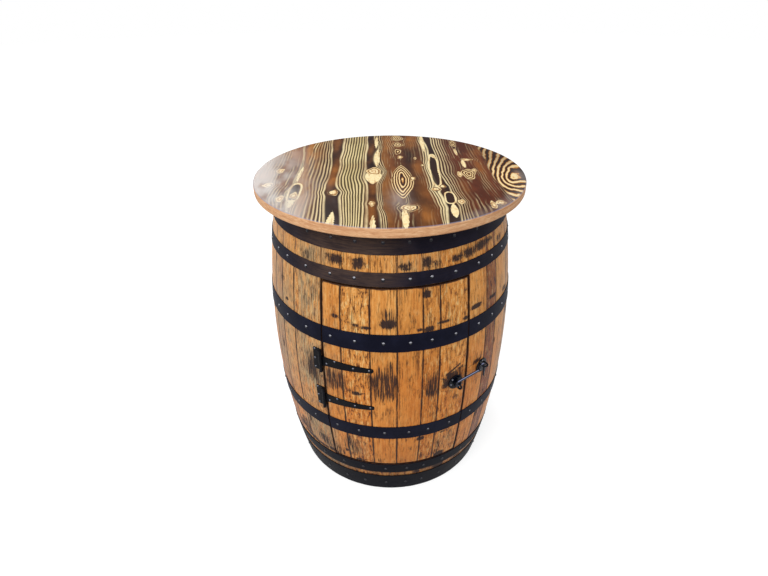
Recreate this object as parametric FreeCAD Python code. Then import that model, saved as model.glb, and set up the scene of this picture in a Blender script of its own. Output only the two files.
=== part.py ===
"""Barrel bar cabinet: a coopered barrel with a hinged door of sawn staves, a cabin hook and a round table top.

Millimetres. The origin is the centre of the foot circle, on the floor. +Z is up and the door faces -Y.
Angles are in degrees about Z: 0 is the front (-Y), 90 is the right side (+X).
"""
import FreeCAD, Part
import math
import os

V = FreeCAD.Vector

# ---- barrel shell -----------------------------------------------------------------------------------
BARREL_HEIGHT = 890.0
BELLY_RADIUS = 353.0
END_RADIUS = 304.5
STAVE_THICKNESS = 27.0
CHIME_BEVEL_HEIGHT = 24.0
CHIME_BEVEL_DEPTH = 9.0

# ---- barrel heads, seated in the croze grooves ------------------------------------------------------
HEAD_INSET = 36.0
HEAD_THICKNESS = 22.0
HEAD_EDGE_THICKNESS = 8.0
HEAD_BEVEL_LENGTH = 18.0
HEAD_TONGUE_LENGTH = 9.0
HEAD_BOARD_COUNT = 5
CROZE_DEPTH = 6.0
CROZE_CLEARANCE = 0.15

# ---- stave widths round the belly, anticlockwise seen from above, from the door's left edge ---------
DOOR_STAVE_WIDTHS = [57.0, 77.0, 69.0, 66.0, 46.0, 88.0]
RIGHT_STAVE_WIDTHS = [69.0, 49.0]
LEFT_STAVE_WIDTHS = [52.0, 60.0, 99.0]
BACK_STAVE_COUNT = 19
BACK_STAVE_RATIOS = [1.0, 0.8, 1.15, 0.95, 1.2, 0.85, 1.05]

# ---- hoops: height of the lower edge, then the width of the band ------------------------------------
HOOP_THICKNESS = 1.8
HOOPS = {
    "lower_chime_hoop": (4.0, 73.0),
    "lower_quarter_hoop": (99.0, 40.0),
    "lower_bilge_hoop": (267.0, 48.0),
    "upper_bilge_hoop": (576.0, 50.0),
    "upper_quarter_hoop": (753.0, 34.0),
    "upper_chime_hoop": (829.0, 57.0),
}
DOOR_HOOPS = ["lower_bilge_hoop", "upper_bilge_hoop"]

# ---- door -------------------------------------------------------------------------------------------
KERF = 4.0
DOOR_TO_HOOP = 2.0
DOOR_BATTEN_WIDTH = 45.0
DOOR_BATTEN_THICKNESS = 20.0
DOOR_BATTEN_SETBACK = 22.0
DOOR_BATTEN_END_DISTANCE = 60.0

# ---- door stop strip on the latch side --------------------------------------------------------------
STOP_THICKNESS = 18.0
STOP_LAND = 32.0
STOP_OVERLAP = 12.0
STOP_GAP = 0.5
STOP_SCREW_COUNT = 4

# ---- shelf ------------------------------------------------------------------------------------------
SHELF_TOP = 440.0
SHELF_THICKNESS = 18.0
SHELF_GAP = 1.0
SHELF_FRONT = 226.0
SHELF_BOARD_COUNT = 5
CLEAT_ANGLES = [85.0, 180.0, 275.0]
CLEAT_LENGTH = 150.0
CLEAT_HEIGHT = 25.0
CLEAT_THICKNESS = 22.0

# ---- table top and the battens under it -------------------------------------------------------------
TABLE_RADIUS = 359.25
TABLE_THICKNESS = 25.4
TABLE_EDGE_ROUND = 4.0
TABLE_BOARD_COUNT = 5
TOP_BATTEN_WIDTH = 60.0
TOP_BATTEN_OFFSET = 125.0
TOP_BATTEN_GAP = 3.0

# ---- T-hinges ---------------------------------------------------------------------------------------
HINGE_HEIGHTS = [388.0, 516.0]
PIN_TO_JAMB = 2.5
PIN_RADIUS = 2.2
PIN_CLEARANCE = 0.08
PIN_HEAD_RADIUS = 3.4
PIN_HEAD_HEIGHT = 1.6
PIN_TAIL = 3.0
KNUCKLE_RADIUS = 4.5
KNUCKLE_LIFT = 0.5
KNUCKLE_GAP = 0.4
LEAF_THICKNESS = 2.2
LEAF_HEIGHT = 68.0
LEAF_WIDTH = 26.0
LEAF_CORNER = 2.5
LEAF_SCREW_INSET = 20.5
LEAF_SCREW_RISES = [-29.0, 0.0, 29.0]
STRAP_LENGTH = 145.0
STRAP_ROOT_WIDTH = 30.0
STRAP_TIP_WIDTH = 13.0
STRAP_LIFT = 0.5
STRAP_SCREWS = [(16.0, -6.0), (40.5, 8.0), (92.0, 0.0), (134.0, 0.0)]

# ---- cabin hook latch -------------------------------------------------------------------------------
LATCH_ANGLE = 34.5
LATCH_HEIGHT = 452.0
HOOK_LENGTH = 96.0
HOOK_ROD_RADIUS = 3.6
HOOK_TIP_RADIUS = 2.6
HOOK_STANDOFF = 9.5
HOOK_EYE_RADIUS = 7.4
HOOK_ELBOW_RADIUS = 5.0
HOOK_ARCH_RADIUS = 9.5
HOOK_ARCH_RISE = 6.5
HOOK_TIP_DROP = 30.0
EYE_END_GAP = 1.0
ROSE_RADIUS = 22.0
ROSE_THICKNESS = 3.0
ROSE_EDGE_ROUND = 1.4
ROSE_DROP = 8.5
ROSE_SCREW_DISTANCE = 15.5
ROSE_SCREW_TURNS = {"door_rose": [135.0, 200.0], "catch_rose": [90.0, 250.0]}
STAPLE_RADIUS = 2.6
STAPLE_CLEARANCE = 0.3
LOOP_RADIUS = 2.4
LOOP_LEG_OFFSET = 2.0

# ---- fasteners: head radius, head height, shank radius, length under the head -----------------------
HOOP_NAIL = (4.3, 1.9, 1.5, 20.0)
BLACK_SCREW = (3.4, 2.0, 1.6, 16.0)
DOOR_BATTEN_SCREW = (4.2, 2.4, 2.0, 36.0)
INSIDE_SCREW = (4.2, 2.4, 2.0, 34.0)
TABLE_SCREW = (5.0, 2.8, 2.4, 72.0)
FASTENER_CLEARANCE = 0.05
POINT_LENGTH = 4.0
RECESS_WIDTH = 0.8
RECESS_DEPTH = 0.9
RECESS_SPAN = 0.6
RECESS_TURN = 37.0

# ---- modelling aids: reach of a trimming shape past what it trims, and a zero length -----------------
OVERSHOOT = 10.0
ZERO = 1e-6

# ---- values worked out from the driving dimensions --------------------------------------------------
MID_HEIGHT = BARREL_HEIGHT / 2
BELLY_SAG = BELLY_RADIUS - END_RADIUS
ARC_RADIUS = (MID_HEIGHT ** 2 + BELLY_SAG ** 2) / (2 * BELLY_SAG)
ARC_CENTRE = BELLY_RADIUS - ARC_RADIUS


def degrees_of(length):
    """Angle about the barrel's axis of a length measured round the belly."""
    return math.degrees(length / BELLY_RADIUS)


DOOR_HALF_ANGLE = degrees_of(sum(DOOR_STAVE_WIDTHS)) / 2
KERF_ANGLE = degrees_of(KERF)
OPENING_BOTTOM = sum(HOOPS["lower_quarter_hoop"]) + DOOR_TO_HOOP
OPENING_TOP = HOOPS["upper_quarter_hoop"][0] - DOOR_TO_HOOP
DOOR_BOTTOM = OPENING_BOTTOM + KERF
DOOR_TOP = OPENING_TOP - KERF


# ---- barrel geometry --------------------------------------------------------------------------------
def radius_at(offset, height):
    """Radius at a height of the surface that lies at this offset outside the staves' outer face."""
    return ARC_CENTRE + math.sqrt((ARC_RADIUS + offset) ** 2 - (height - MID_HEIGHT) ** 2)


def slope_at(offset, height):
    """Tilt of that surface's normal above the horizontal, in radians."""
    return math.asin((height - MID_HEIGHT) / (ARC_RADIUS + offset))


def arc_point(offset, slope):
    """Point of the section plane (x is the radius) on the surface at this offset."""
    reach = ARC_RADIUS + offset
    return V(ARC_CENTRE + reach * math.cos(slope), 0, MID_HEIGHT + reach * math.sin(slope))


def outward(angle, slope=0.0):
    """Unit vector that points away from the barrel's axis."""
    turn = math.radians(angle)
    return V(math.cos(slope) * math.sin(turn), -math.cos(slope) * math.cos(turn), math.sin(slope))


def arc_edge(offset, first_slope, last_slope):
    """Edge of the section that follows the surface at this offset."""
    middle_slope = (first_slope + last_slope) / 2
    slopes = [first_slope, middle_slope, last_slope]
    return Part.Arc(*[arc_point(offset, slope) for slope in slopes]).toShape()


def line_edge(start, end):
    return Part.makeLine(start, end)


def revolve_section(edges, first_angle, last_angle):
    """Solid swept by a section of the barrel's wall between two angles."""
    face = Part.Face(Part.Wire(edges))
    face.rotate(V(0, 0, 0), V(0, 0, 1), first_angle - 90)
    return face.revolve(V(0, 0, 0), V(0, 0, 1), last_angle - first_angle)


def curved_block(first_angle, last_angle, inner, outer, bottom, top, square_edges=False):
    """Piece that follows the barrel between two offsets, with level ends or with ends square to it."""
    inner_slopes = [slope_at(inner, bottom), slope_at(inner, top)]
    outer_slopes = [slope_at(outer, bottom), slope_at(outer, top)]
    if square_edges:
        inner_slopes = [slope_at(0, bottom), slope_at(0, top)]
        outer_slopes = inner_slopes
    edges = [
        arc_edge(outer, outer_slopes[0], outer_slopes[1]),
        line_edge(arc_point(outer, outer_slopes[1]), arc_point(inner, inner_slopes[1])),
        arc_edge(inner, inner_slopes[1], inner_slopes[0]),
        line_edge(arc_point(inner, inner_slopes[0]), arc_point(outer, outer_slopes[0])),
    ]
    return revolve_section(edges, first_angle, last_angle)


def place_on_barrel(shape, angle, height, offset, inward=False):
    """Stands a shape made along +Z on the surface at this offset, along its normal."""
    slope = slope_at(0, height)
    normal = outward(angle, slope)
    radius = arc_point(offset, slope)
    base = outward(angle) * radius.x + V(0, 0, radius.z)
    if inward:
        normal = normal * -1
    placed = shape.copy()
    placed.Placement = FreeCAD.Placement(base, FreeCAD.Rotation(V(0, 0, 1), normal))
    return placed


# ---- fasteners --------------------------------------------------------------------------------------
def turned(edges):
    """Solid of revolution about Z from edges in the XZ plane."""
    face = Part.Face(Part.Wire(edges))
    return face.revolve(V(0, 0, 0), V(0, 0, 1), 360)


def domed_fastener(sizes, turn=0.0, recess=False):
    """Nail or screw with a domed head above z = 0 and its shank below."""
    head_radius, head_height, shank_radius, length = sizes
    dome_radius = (head_radius ** 2 + head_height ** 2) / (2 * head_height)
    dome_centre = head_height - dome_radius
    half_turn = math.asin(head_radius / dome_radius) / 2
    crown = V(0, 0, head_height)
    shoulder = V(dome_radius * math.sin(half_turn), 0, dome_centre + dome_radius * math.cos(half_turn))
    corners = [
        V(head_radius, 0, 0),
        V(shank_radius, 0, 0),
        V(shank_radius, 0, POINT_LENGTH - length),
        V(0, 0, -length),
        crown,
    ]
    edges = [Part.Arc(crown, shoulder, corners[0]).toShape()]
    edges += [line_edge(start, end) for start, end in zip(corners, corners[1:])]
    solid = turned(edges)
    if recess:
        span = 2 * head_radius * RECESS_SPAN
        for quarter in (0, 90):
            slot = Part.makeBox(span, RECESS_WIDTH, RECESS_DEPTH, V(-span / 2, -RECESS_WIDTH / 2, 0))
            slot.translate(V(0, 0, head_height - RECESS_DEPTH))
            slot.rotate(V(0, 0, 0), V(0, 0, 1), turn + quarter)
            solid = solid.cut(slot)
    return solid


def fastener_bore(sizes):
    """Bore for a fastener's shank, open above z = 0."""
    bore_radius = sizes[2] + FASTENER_CLEARANCE
    depth = sizes[3] + FASTENER_CLEARANCE
    return Part.makeCylinder(bore_radius, depth + sizes[3], V(0, 0, -depth))


def place_fasteners(sizes, spots, inward=False, recess=True):
    """Fasteners and their bores on the barrel; each spot is (angle, height, offset of the head's seat)."""
    solids = []
    for number, (angle, height, offset) in enumerate(spots):
        solid = domed_fastener(sizes, RECESS_TURN * number, recess)
        solids.append(place_on_barrel(solid, angle, height, offset, inward))
    bores = [place_on_barrel(fastener_bore(sizes), *spot, inward) for spot in spots]
    return solids, bores


def drill(shape, bores):
    """Cuts the bores that reach a shape out of it."""
    reaching = [bore for bore in bores if bore.BoundBox.intersect(shape.BoundBox)]
    if not reaching:
        return shape
    drilled = shape.cut(reaching)
    return drilled.Solids[0] if len(drilled.Solids) == 1 else drilled


# ---- layout of the staves ---------------------------------------------------------------------------
def stave_edges(first_angle, widths):
    """Angles of the seams of neighbouring staves, from the first one's left seam."""
    edges = [first_angle]
    for width in widths:
        edges.append(edges[-1] + degrees_of(width))
    return list(zip(edges, edges[1:]))


def back_widths():
    """Widths of the back staves, which fill what the front and side staves leave of the circle."""
    placed = sum(DOOR_STAVE_WIDTHS) + sum(RIGHT_STAVE_WIDTHS) + sum(LEFT_STAVE_WIDTHS)
    room = 2 * math.pi * BELLY_RADIUS - placed
    ratios = [BACK_STAVE_RATIOS[n % len(BACK_STAVE_RATIOS)] for n in range(BACK_STAVE_COUNT)]
    return [room * ratio / sum(ratios) for ratio in ratios]


FRONT_SPANS = stave_edges(-DOOR_HALF_ANGLE, DOOR_STAVE_WIDTHS)
WHOLE_SPANS = stave_edges(DOOR_HALF_ANGLE, RIGHT_STAVE_WIDTHS + back_widths() + LEFT_STAVE_WIDTHS)


def middle(span):
    return (span[0] + span[1]) / 2


# ---- staves -----------------------------------------------------------------------------------------
CROZE_BOTTOM = HEAD_INSET + (HEAD_THICKNESS - HEAD_EDGE_THICKNESS) / 2 - CROZE_CLEARANCE
CROZE_TOP = CROZE_BOTTOM + HEAD_EDGE_THICKNESS + 2 * CROZE_CLEARANCE
CROZE_RADIUS = radius_at(-STAVE_THICKNESS, CROZE_TOP) + CROZE_DEPTH


def inner_point(height):
    return V(radius_at(-STAVE_THICKNESS, height), 0, height)


def foot_corners():
    """Corners of a whole stave's inner side at the foot: the chime bevel, then the croze."""
    return [
        inner_point(0) + V(CHIME_BEVEL_DEPTH, 0, 0),
        inner_point(CHIME_BEVEL_HEIGHT),
        inner_point(CROZE_BOTTOM),
        V(CROZE_RADIUS, 0, CROZE_BOTTOM),
        V(CROZE_RADIUS, 0, CROZE_TOP),
        inner_point(CROZE_TOP),
    ]


def mirrored(points):
    """The same corners at the barrel's other end, in rising order."""
    return [V(point.x, 0, BARREL_HEIGHT - point.z) for point in reversed(points)]


def on_inner_face(point):
    return abs(point.x - radius_at(-STAVE_THICKNESS, point.z)) < ZERO


def inner_edge(start, end):
    """Edge of a stave's inner side: along the curved face, or straight in the bevel and the croze."""
    if on_inner_face(start) and on_inner_face(end):
        slopes = [slope_at(-STAVE_THICKNESS, point.z) for point in (start, end)]
        return arc_edge(-STAVE_THICKNESS, *slopes)
    return line_edge(start, end)


def stave_between(span, bottom, top):
    """Length of stave between two heights; at a barrel end it carries the chime bevel and the croze."""
    corners = foot_corners() if bottom == 0 else [inner_point(bottom)]
    corners += mirrored(foot_corners()) if top == BARREL_HEIGHT else [inner_point(top)]
    outer_foot = V(radius_at(0, bottom), 0, bottom)
    outer_head = V(radius_at(0, top), 0, top)
    edges = [inner_edge(start, end) for start, end in zip(corners, corners[1:])]
    edges.append(line_edge(corners[-1], outer_head))
    edges.append(arc_edge(0, slope_at(0, top), slope_at(0, bottom)))
    edges.append(line_edge(outer_foot, corners[0]))
    return revolve_section(edges, *span)


def door_spans():
    """The door's staves; the outer two lose the saw cut."""
    spans = [list(span) for span in FRONT_SPANS]
    spans[0][0] += KERF_ANGLE
    spans[-1][1] -= KERF_ANGLE
    return spans


# ---- hoops and their nails --------------------------------------------------------------------------
def hoop_middle(name):
    bottom, width = HOOPS[name]
    return bottom + width / 2


def hoop_band(name, first_angle, last_angle):
    bottom, width = HOOPS[name]
    return curved_block(first_angle, last_angle, 0, HOOP_THICKNESS, bottom, bottom + width, True)


def nail_spots(names, spans):
    """One nail in the middle of each stave on each of these hoops."""
    return [(middle(span), hoop_middle(name), HOOP_THICKNESS) for name in names for span in spans]


def make_hoops(bores):
    """The six hoops, built up stave by stave; the bilge hoops are sawn through with the door."""
    hoops = {}
    for name in HOOPS:
        spans = WHOLE_SPANS if name in DOOR_HOOPS else FRONT_SPANS + WHOLE_SPANS
        lengths = [drill(hoop_band(name, *span), bores) for span in spans]
        hoops[name] = lengths[0].fuse(lengths[1:]).Solids[0]
    return hoops


# ---- heads, table top, battens ----------------------------------------------------------------------
def cut_into_boards(solid, count, along_x=False):
    """Cuts a flat piece into edge-jointed boards that run along Y, or along X."""
    box = solid.BoundBox
    length, start = (box.YLength, box.YMin) if along_x else (box.XLength, box.XMin)
    width = length / count
    boards = []
    for number in range(count):
        size = V(box.XLength, width, box.ZLength) if along_x else V(width, box.YLength, box.ZLength)
        corner = V(box.XMin, start, box.ZMin) if along_x else V(start, box.YMin, box.ZMin)
        slab = Part.makeBox(size.x, size.y, size.z, corner)
        slab.translate(V(0, number * width, 0) if along_x else V(number * width, 0, 0))
        boards.append(solid.common(slab).Solids[0])
    return boards


def barrel_head(bottom, bores):
    """Round head, bevelled to a thin tongue that sits in the croze."""
    radius = CROZE_RADIUS - CROZE_CLEARANCE
    tongue = radius - HEAD_TONGUE_LENGTH
    bevel = (HEAD_THICKNESS - HEAD_EDGE_THICKNESS) / 2
    corners = [
        V(0, 0, 0),
        V(tongue - HEAD_BEVEL_LENGTH, 0, 0),
        V(tongue, 0, bevel),
        V(radius, 0, bevel),
        V(radius, 0, HEAD_THICKNESS - bevel),
        V(tongue, 0, HEAD_THICKNESS - bevel),
        V(tongue - HEAD_BEVEL_LENGTH, 0, HEAD_THICKNESS),
        V(0, 0, HEAD_THICKNESS),
        V(0, 0, 0),
    ]
    head = turned([line_edge(start, end) for start, end in zip(corners, corners[1:])])
    head.translate(V(0, 0, bottom))
    return [drill(board, bores) for board in cut_into_boards(head, HEAD_BOARD_COUNT)]


UPPER_HEAD_BOTTOM = BARREL_HEIGHT - HEAD_INSET - HEAD_THICKNESS
TABLE_BOARD_WIDTH = 2 * TABLE_RADIUS / TABLE_BOARD_COUNT


def table_screws():
    """Screws that rise through the upper head and the battens into the table top, and their bores."""
    solids = []
    bores = []
    for side in (-1, 1):
        for column in (-1, 0, 1):
            foot = V(column * TABLE_BOARD_WIDTH, side * TOP_BATTEN_OFFSET, UPPER_HEAD_BOTTOM)
            upside_down = FreeCAD.Placement(foot, FreeCAD.Rotation(V(1, 0, 0), 180))
            for made, shape in (
                (solids, domed_fastener(TABLE_SCREW, RECESS_TURN * column, True)),
                (bores, fastener_bore(TABLE_SCREW)),
            ):
                shape.Placement = upside_down
                made.append(shape)
    return solids, bores


def make_table_top(bores):
    disc = Part.makeCylinder(TABLE_RADIUS, TABLE_THICKNESS, V(0, 0, BARREL_HEIGHT))
    rims = [edge for edge in disc.Edges if isinstance(edge.Curve, Part.Circle)]
    disc = disc.makeFillet(TABLE_EDGE_ROUND, rims)
    return [drill(board, bores) for board in cut_into_boards(disc, TABLE_BOARD_COUNT)]


def make_top_battens(bores):
    """Battens in the chime's recess, from the upper head to the table top."""
    room = radius_at(-STAVE_THICKNESS, BARREL_HEIGHT) - TOP_BATTEN_GAP
    far_edge = TOP_BATTEN_OFFSET + TOP_BATTEN_WIDTH / 2
    half_length = math.sqrt(room ** 2 - far_edge ** 2)
    battens = []
    for side in (-1, 1):
        corner = V(-half_length, side * TOP_BATTEN_OFFSET - TOP_BATTEN_WIDTH / 2, BARREL_HEIGHT - HEAD_INSET)
        batten = Part.makeBox(2 * half_length, TOP_BATTEN_WIDTH, HEAD_INSET, corner)
        battens.append(drill(batten, bores))
    return battens


# ---- inside: shelf, cleats, door battens, door stop -------------------------------------------------
def make_shelf():
    """Round shelf cut straight across behind the door."""
    bottom = SHELF_TOP - SHELF_THICKNESS
    radius = min(radius_at(-STAVE_THICKNESS, height) for height in (bottom, SHELF_TOP)) - SHELF_GAP
    disc = Part.makeCylinder(radius, SHELF_THICKNESS, V(0, 0, bottom))
    front = Part.makeBox(2 * radius, radius, SHELF_THICKNESS, V(-radius, -radius - SHELF_FRONT, bottom))
    return cut_into_boards(disc.cut(front), SHELF_BOARD_COUNT, True)


CLEAT_TOP = SHELF_TOP - SHELF_THICKNESS
CLEAT_HALF_ANGLE = degrees_of(CLEAT_LENGTH) / 2


def cleat_screw_spots():
    height = CLEAT_TOP - CLEAT_HEIGHT / 2
    seat = -STAVE_THICKNESS - CLEAT_THICKNESS
    sides = [-CLEAT_HALF_ANGLE / 2, CLEAT_HALF_ANGLE / 2]
    return [(angle + side, height, seat) for angle in CLEAT_ANGLES for side in sides]


def make_cleats(bores):
    cleats = []
    for angle in CLEAT_ANGLES:
        span = (angle - CLEAT_HALF_ANGLE, angle + CLEAT_HALF_ANGLE)
        depths = (-STAVE_THICKNESS - CLEAT_THICKNESS, -STAVE_THICKNESS)
        cleat = curved_block(*span, *depths, CLEAT_TOP - CLEAT_HEIGHT, CLEAT_TOP)
        cleats.append(drill(cleat, bores))
    return cleats


def door_batten_bottoms():
    low = DOOR_BOTTOM + DOOR_BATTEN_END_DISTANCE
    high = DOOR_TOP - DOOR_BATTEN_END_DISTANCE - DOOR_BATTEN_WIDTH
    return [low, high]


def door_batten_screw_spots():
    seat = -STAVE_THICKNESS - DOOR_BATTEN_THICKNESS
    heights = [bottom + DOOR_BATTEN_WIDTH / 2 for bottom in door_batten_bottoms()]
    return [(middle(span), height, seat) for height in heights for span in FRONT_SPANS]


def make_door_battens(bores):
    half_angle = DOOR_HALF_ANGLE - degrees_of(DOOR_BATTEN_SETBACK)
    depths = (-STAVE_THICKNESS - DOOR_BATTEN_THICKNESS, -STAVE_THICKNESS)
    battens = []
    for bottom in door_batten_bottoms():
        batten = curved_block(-half_angle, half_angle, *depths, bottom, bottom + DOOR_BATTEN_WIDTH)
        battens.append(drill(batten, bores))
    return battens


def stop_screw_spots():
    angle = DOOR_HALF_ANGLE + degrees_of(STOP_LAND / 2)
    seat = -STAVE_THICKNESS - STOP_THICKNESS
    spacing = (DOOR_TOP - DOOR_BOTTOM) / STOP_SCREW_COUNT
    heights = [DOOR_BOTTOM + spacing * (number + 0.5) for number in range(STOP_SCREW_COUNT)]
    return [(angle, height, seat) for height in heights]


def make_door_stop(bores):
    """Strip on the jamb, with a lip a little behind the closed door's edge."""
    back = -STAVE_THICKNESS - STOP_THICKNESS
    land = (DOOR_HALF_ANGLE, DOOR_HALF_ANGLE + degrees_of(STOP_LAND))
    lip = (DOOR_HALF_ANGLE - degrees_of(KERF + STOP_OVERLAP), DOOR_HALF_ANGLE + KERF_ANGLE)
    strip = curved_block(*land, back, -STAVE_THICKNESS, DOOR_BOTTOM, DOOR_TOP)
    lip_block = curved_block(*lip, back, -STAVE_THICKNESS - STOP_GAP, DOOR_BOTTOM, DOOR_TOP)
    return drill(strip.fuse(lip_block).removeSplitter(), bores)


# ---- T-hinges ---------------------------------------------------------------------------------------
PIN_CIRCLE = BELLY_RADIUS + KNUCKLE_LIFT + KNUCKLE_RADIUS
PIN_ANGLE = -DOOR_HALF_ANGLE - degrees_of(PIN_TO_JAMB)
PIN_AXIS = outward(PIN_ANGLE) * PIN_CIRCLE
KNUCKLE_ANGLE = degrees_of(KNUCKLE_RADIUS)


def knuckle(bottom, top):
    """Tube of the hinge about the pin's axis."""
    foot = V(PIN_AXIS.x, PIN_AXIS.y, bottom)
    return Part.makeCylinder(KNUCKLE_RADIUS, top - bottom, foot)


def pin_bore(bottom, top):
    foot = V(PIN_AXIS.x, PIN_AXIS.y, bottom)
    return Part.makeCylinder(PIN_RADIUS + PIN_CLEARANCE, top - bottom, foot)


def plan_prism(corners, angle, height, corner_round=0.0):
    """Prism through the barrel's wall along its normal, from (distance round, rise) corners."""
    points = [V(x, y, -STAVE_THICKNESS) for x, y in corners]
    wire = Part.makePolygon(points + points[:1])
    prism = Part.Face(wire).extrude(V(0, 0, 2 * STAVE_THICKNESS))
    if corner_round:
        upright = [edge for edge in prism.Edges if edge.BoundBox.ZLength > STAVE_THICKNESS]
        prism = prism.makeFillet(corner_round, upright)
    normal = outward(angle)
    across = V(-normal.y, normal.x, 0)
    frame = FreeCAD.Rotation(across, V(0, 0, 1), normal, "ZXY")
    prism.Placement = FreeCAD.Placement(normal * BELLY_RADIUS + V(0, 0, height), frame)
    return prism


def hinge_leaf(height, bores):
    """Leaf on the fixed stave, with a knuckle above and below the strap's."""
    half_leaf = LEAF_HEIGHT / 2
    half_root = STRAP_ROOT_WIDTH / 2 + KNUCKLE_GAP
    bottom, top = height - half_leaf, height + half_leaf
    far_side = PIN_ANGLE - degrees_of(LEAF_WIDTH + OVERSHOOT)
    plate = curved_block(far_side, PIN_ANGLE, 0, LEAF_THICKNESS, bottom - OVERSHOOT, top + OVERSHOOT)
    left, right = -LEAF_WIDTH, OVERSHOOT
    outline = [(left, -half_leaf), (right, -half_leaf), (right, half_leaf), (left, half_leaf)]
    plate = plate.common(plan_prism(outline, PIN_ANGLE, height, LEAF_CORNER))
    window = curved_block(
        PIN_ANGLE - KNUCKLE_ANGLE - degrees_of(KNUCKLE_GAP), PIN_ANGLE + KNUCKLE_ANGLE,
        -OVERSHOOT, OVERSHOOT, height - half_root, height + half_root,
    )
    leaf = plate.cut(window)
    for low, high in ((bottom, height - half_root), (height + half_root, top)):
        lift = PIN_CIRCLE - BELLY_RADIUS
        web = curved_block(PIN_ANGLE - KNUCKLE_ANGLE, PIN_ANGLE, 0, lift, low, high)
        leaf = leaf.fuse([web, knuckle(low, high)])
    leaf = leaf.removeSplitter().cut(pin_bore(bottom - OVERSHOOT, top + OVERSHOOT))
    return drill(leaf, bores)


def hinge_strap(height, bores):
    """Long tapered strap on the door, with the middle knuckle; near the pin it is raised off the jamb."""
    half_root = STRAP_ROOT_WIDTH / 2
    half_tip = STRAP_TIP_WIDTH / 2
    door_edge = -DOOR_HALF_ANGLE + KERF_ANGLE
    middle_angle = PIN_ANGLE + degrees_of(STRAP_LENGTH) / 2
    reach = STRAP_LENGTH / 2
    band = (height - half_root, height + half_root)
    plate = curved_block(door_edge, middle_angle + degrees_of(STRAP_LENGTH), 0, LEAF_THICKNESS, *band)
    root, shoulder = -reach - OVERSHOOT, reach - half_tip
    outline = [(root, -half_root), (shoulder, -half_tip), (shoulder, half_tip), (root, half_root)]
    blade = plan_prism(outline, middle_angle, height)
    tip = Part.makeCylinder(half_tip, 2 * STAVE_THICKNESS, V(0, 0, -STAVE_THICKNESS))
    tip = place_on_barrel(tip, middle_angle + degrees_of(shoulder), height, 0)
    plate = plate.common(blade.fuse(tip))
    joggle_end = door_edge + degrees_of(2 * LEAF_THICKNESS)
    joggle = curved_block(PIN_ANGLE, joggle_end, STRAP_LIFT, STRAP_LIFT + LEAF_THICKNESS, *band)
    web = curved_block(PIN_ANGLE, PIN_ANGLE + KNUCKLE_ANGLE, STRAP_LIFT, PIN_CIRCLE - BELLY_RADIUS, *band)
    strap = plate.fuse([joggle, web, knuckle(*band)]).removeSplitter()
    strap = strap.cut(pin_bore(band[0] - OVERSHOOT, band[1] + OVERSHOOT))
    return drill(strap, bores)


def hinge_pin(height):
    """Pin with a domed head above the top knuckle and a riveted tail below the bottom one."""
    bottom = height - LEAF_HEIGHT / 2
    foot = V(PIN_AXIS.x, PIN_AXIS.y, bottom - PIN_TAIL)
    shank = Part.makeCylinder(PIN_RADIUS, LEAF_HEIGHT + PIN_TAIL, foot)
    top = V(PIN_AXIS.x, PIN_AXIS.y, bottom + LEAF_HEIGHT)
    head = Part.makeCone(PIN_HEAD_RADIUS, PIN_RADIUS, PIN_HEAD_HEIGHT, top)
    tail = Part.makeCone(PIN_RADIUS, PIN_HEAD_RADIUS, PIN_HEAD_HEIGHT, foot)
    neck = Part.makeCylinder(PIN_HEAD_RADIUS, PIN_TAIL - PIN_HEAD_HEIGHT, foot + V(0, 0, PIN_HEAD_HEIGHT))
    return shank.fuse([head, tail, neck]).removeSplitter()


def leaf_screw_spots():
    angle = PIN_ANGLE - degrees_of(LEAF_SCREW_INSET)
    return [(angle, height + rise, LEAF_THICKNESS) for height in HINGE_HEIGHTS for rise in LEAF_SCREW_RISES]


def strap_screw_spots():
    spots = []
    for height in HINGE_HEIGHTS:
        for distance, rise in STRAP_SCREWS:
            spots.append((PIN_ANGLE + degrees_of(distance), height + rise, LEAF_THICKNESS))
    return spots


# ---- cabin hook latch -------------------------------------------------------------------------------
# The hook lies in a plane square to the barrel's radius at LATCH_ANGLE. In that plane x runs along the
# rod from the centre line of the eye towards the catch, y is up, and z is outward.
LATCH_NORMAL = outward(LATCH_ANGLE)
LATCH_ACROSS = V(-LATCH_NORMAL.y, LATCH_NORMAL.x, 0)
LATCH_PLANE = BELLY_RADIUS + HOOK_STANDOFF
LATCH_ORIGIN = LATCH_NORMAL * LATCH_PLANE - LATCH_ACROSS * (HOOK_LENGTH / 2) + V(0, 0, LATCH_HEIGHT)
LATCH_FRAME = FreeCAD.Placement(LATCH_ORIGIN, FreeCAD.Rotation(LATCH_ACROSS, V(0, 0, 1), LATCH_NORMAL, "ZXY"))

EYE_HOLE_RADIUS = HOOK_EYE_RADIUS - HOOK_ROD_RADIUS
PIVOT_DROP = HOOK_EYE_RADIUS - (EYE_HOLE_RADIUS - STAPLE_RADIUS - STAPLE_CLEARANCE)
EYE_REACH = HOOK_EYE_RADIUS + HOOK_ROD_RADIUS + (EYE_HOLE_RADIUS - STAPLE_RADIUS - STAPLE_CLEARANCE)
STAPLE_SPREAD = EYE_REACH + STAPLE_CLEARANCE + STAPLE_RADIUS
ARCH_CENTRE = V(HOOK_LENGTH - HOOK_ARCH_RADIUS, HOOK_ARCH_RISE, 0)
LOOP_SEAT = HOOK_ARCH_RADIUS - HOOK_ROD_RADIUS - LOOP_RADIUS - STAPLE_CLEARANCE
LOOP_LEVEL = HOOK_ARCH_RISE + math.sqrt(LOOP_SEAT ** 2 - LOOP_LEG_OFFSET ** 2)
LOOP_LEFT = ARCH_CENTRE.x + LOOP_LEG_OFFSET
TIP_SWING = math.hypot(HOOK_LENGTH, HOOK_TIP_DROP - PIVOT_DROP) + HOOK_TIP_RADIUS
LOOP_RIGHT = TIP_SWING + 2 * STAPLE_CLEARANCE + LOOP_RADIUS


def in_latch_frame(shape):
    shape.Placement = LATCH_FRAME.multiply(shape.Placement)
    return shape


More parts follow.
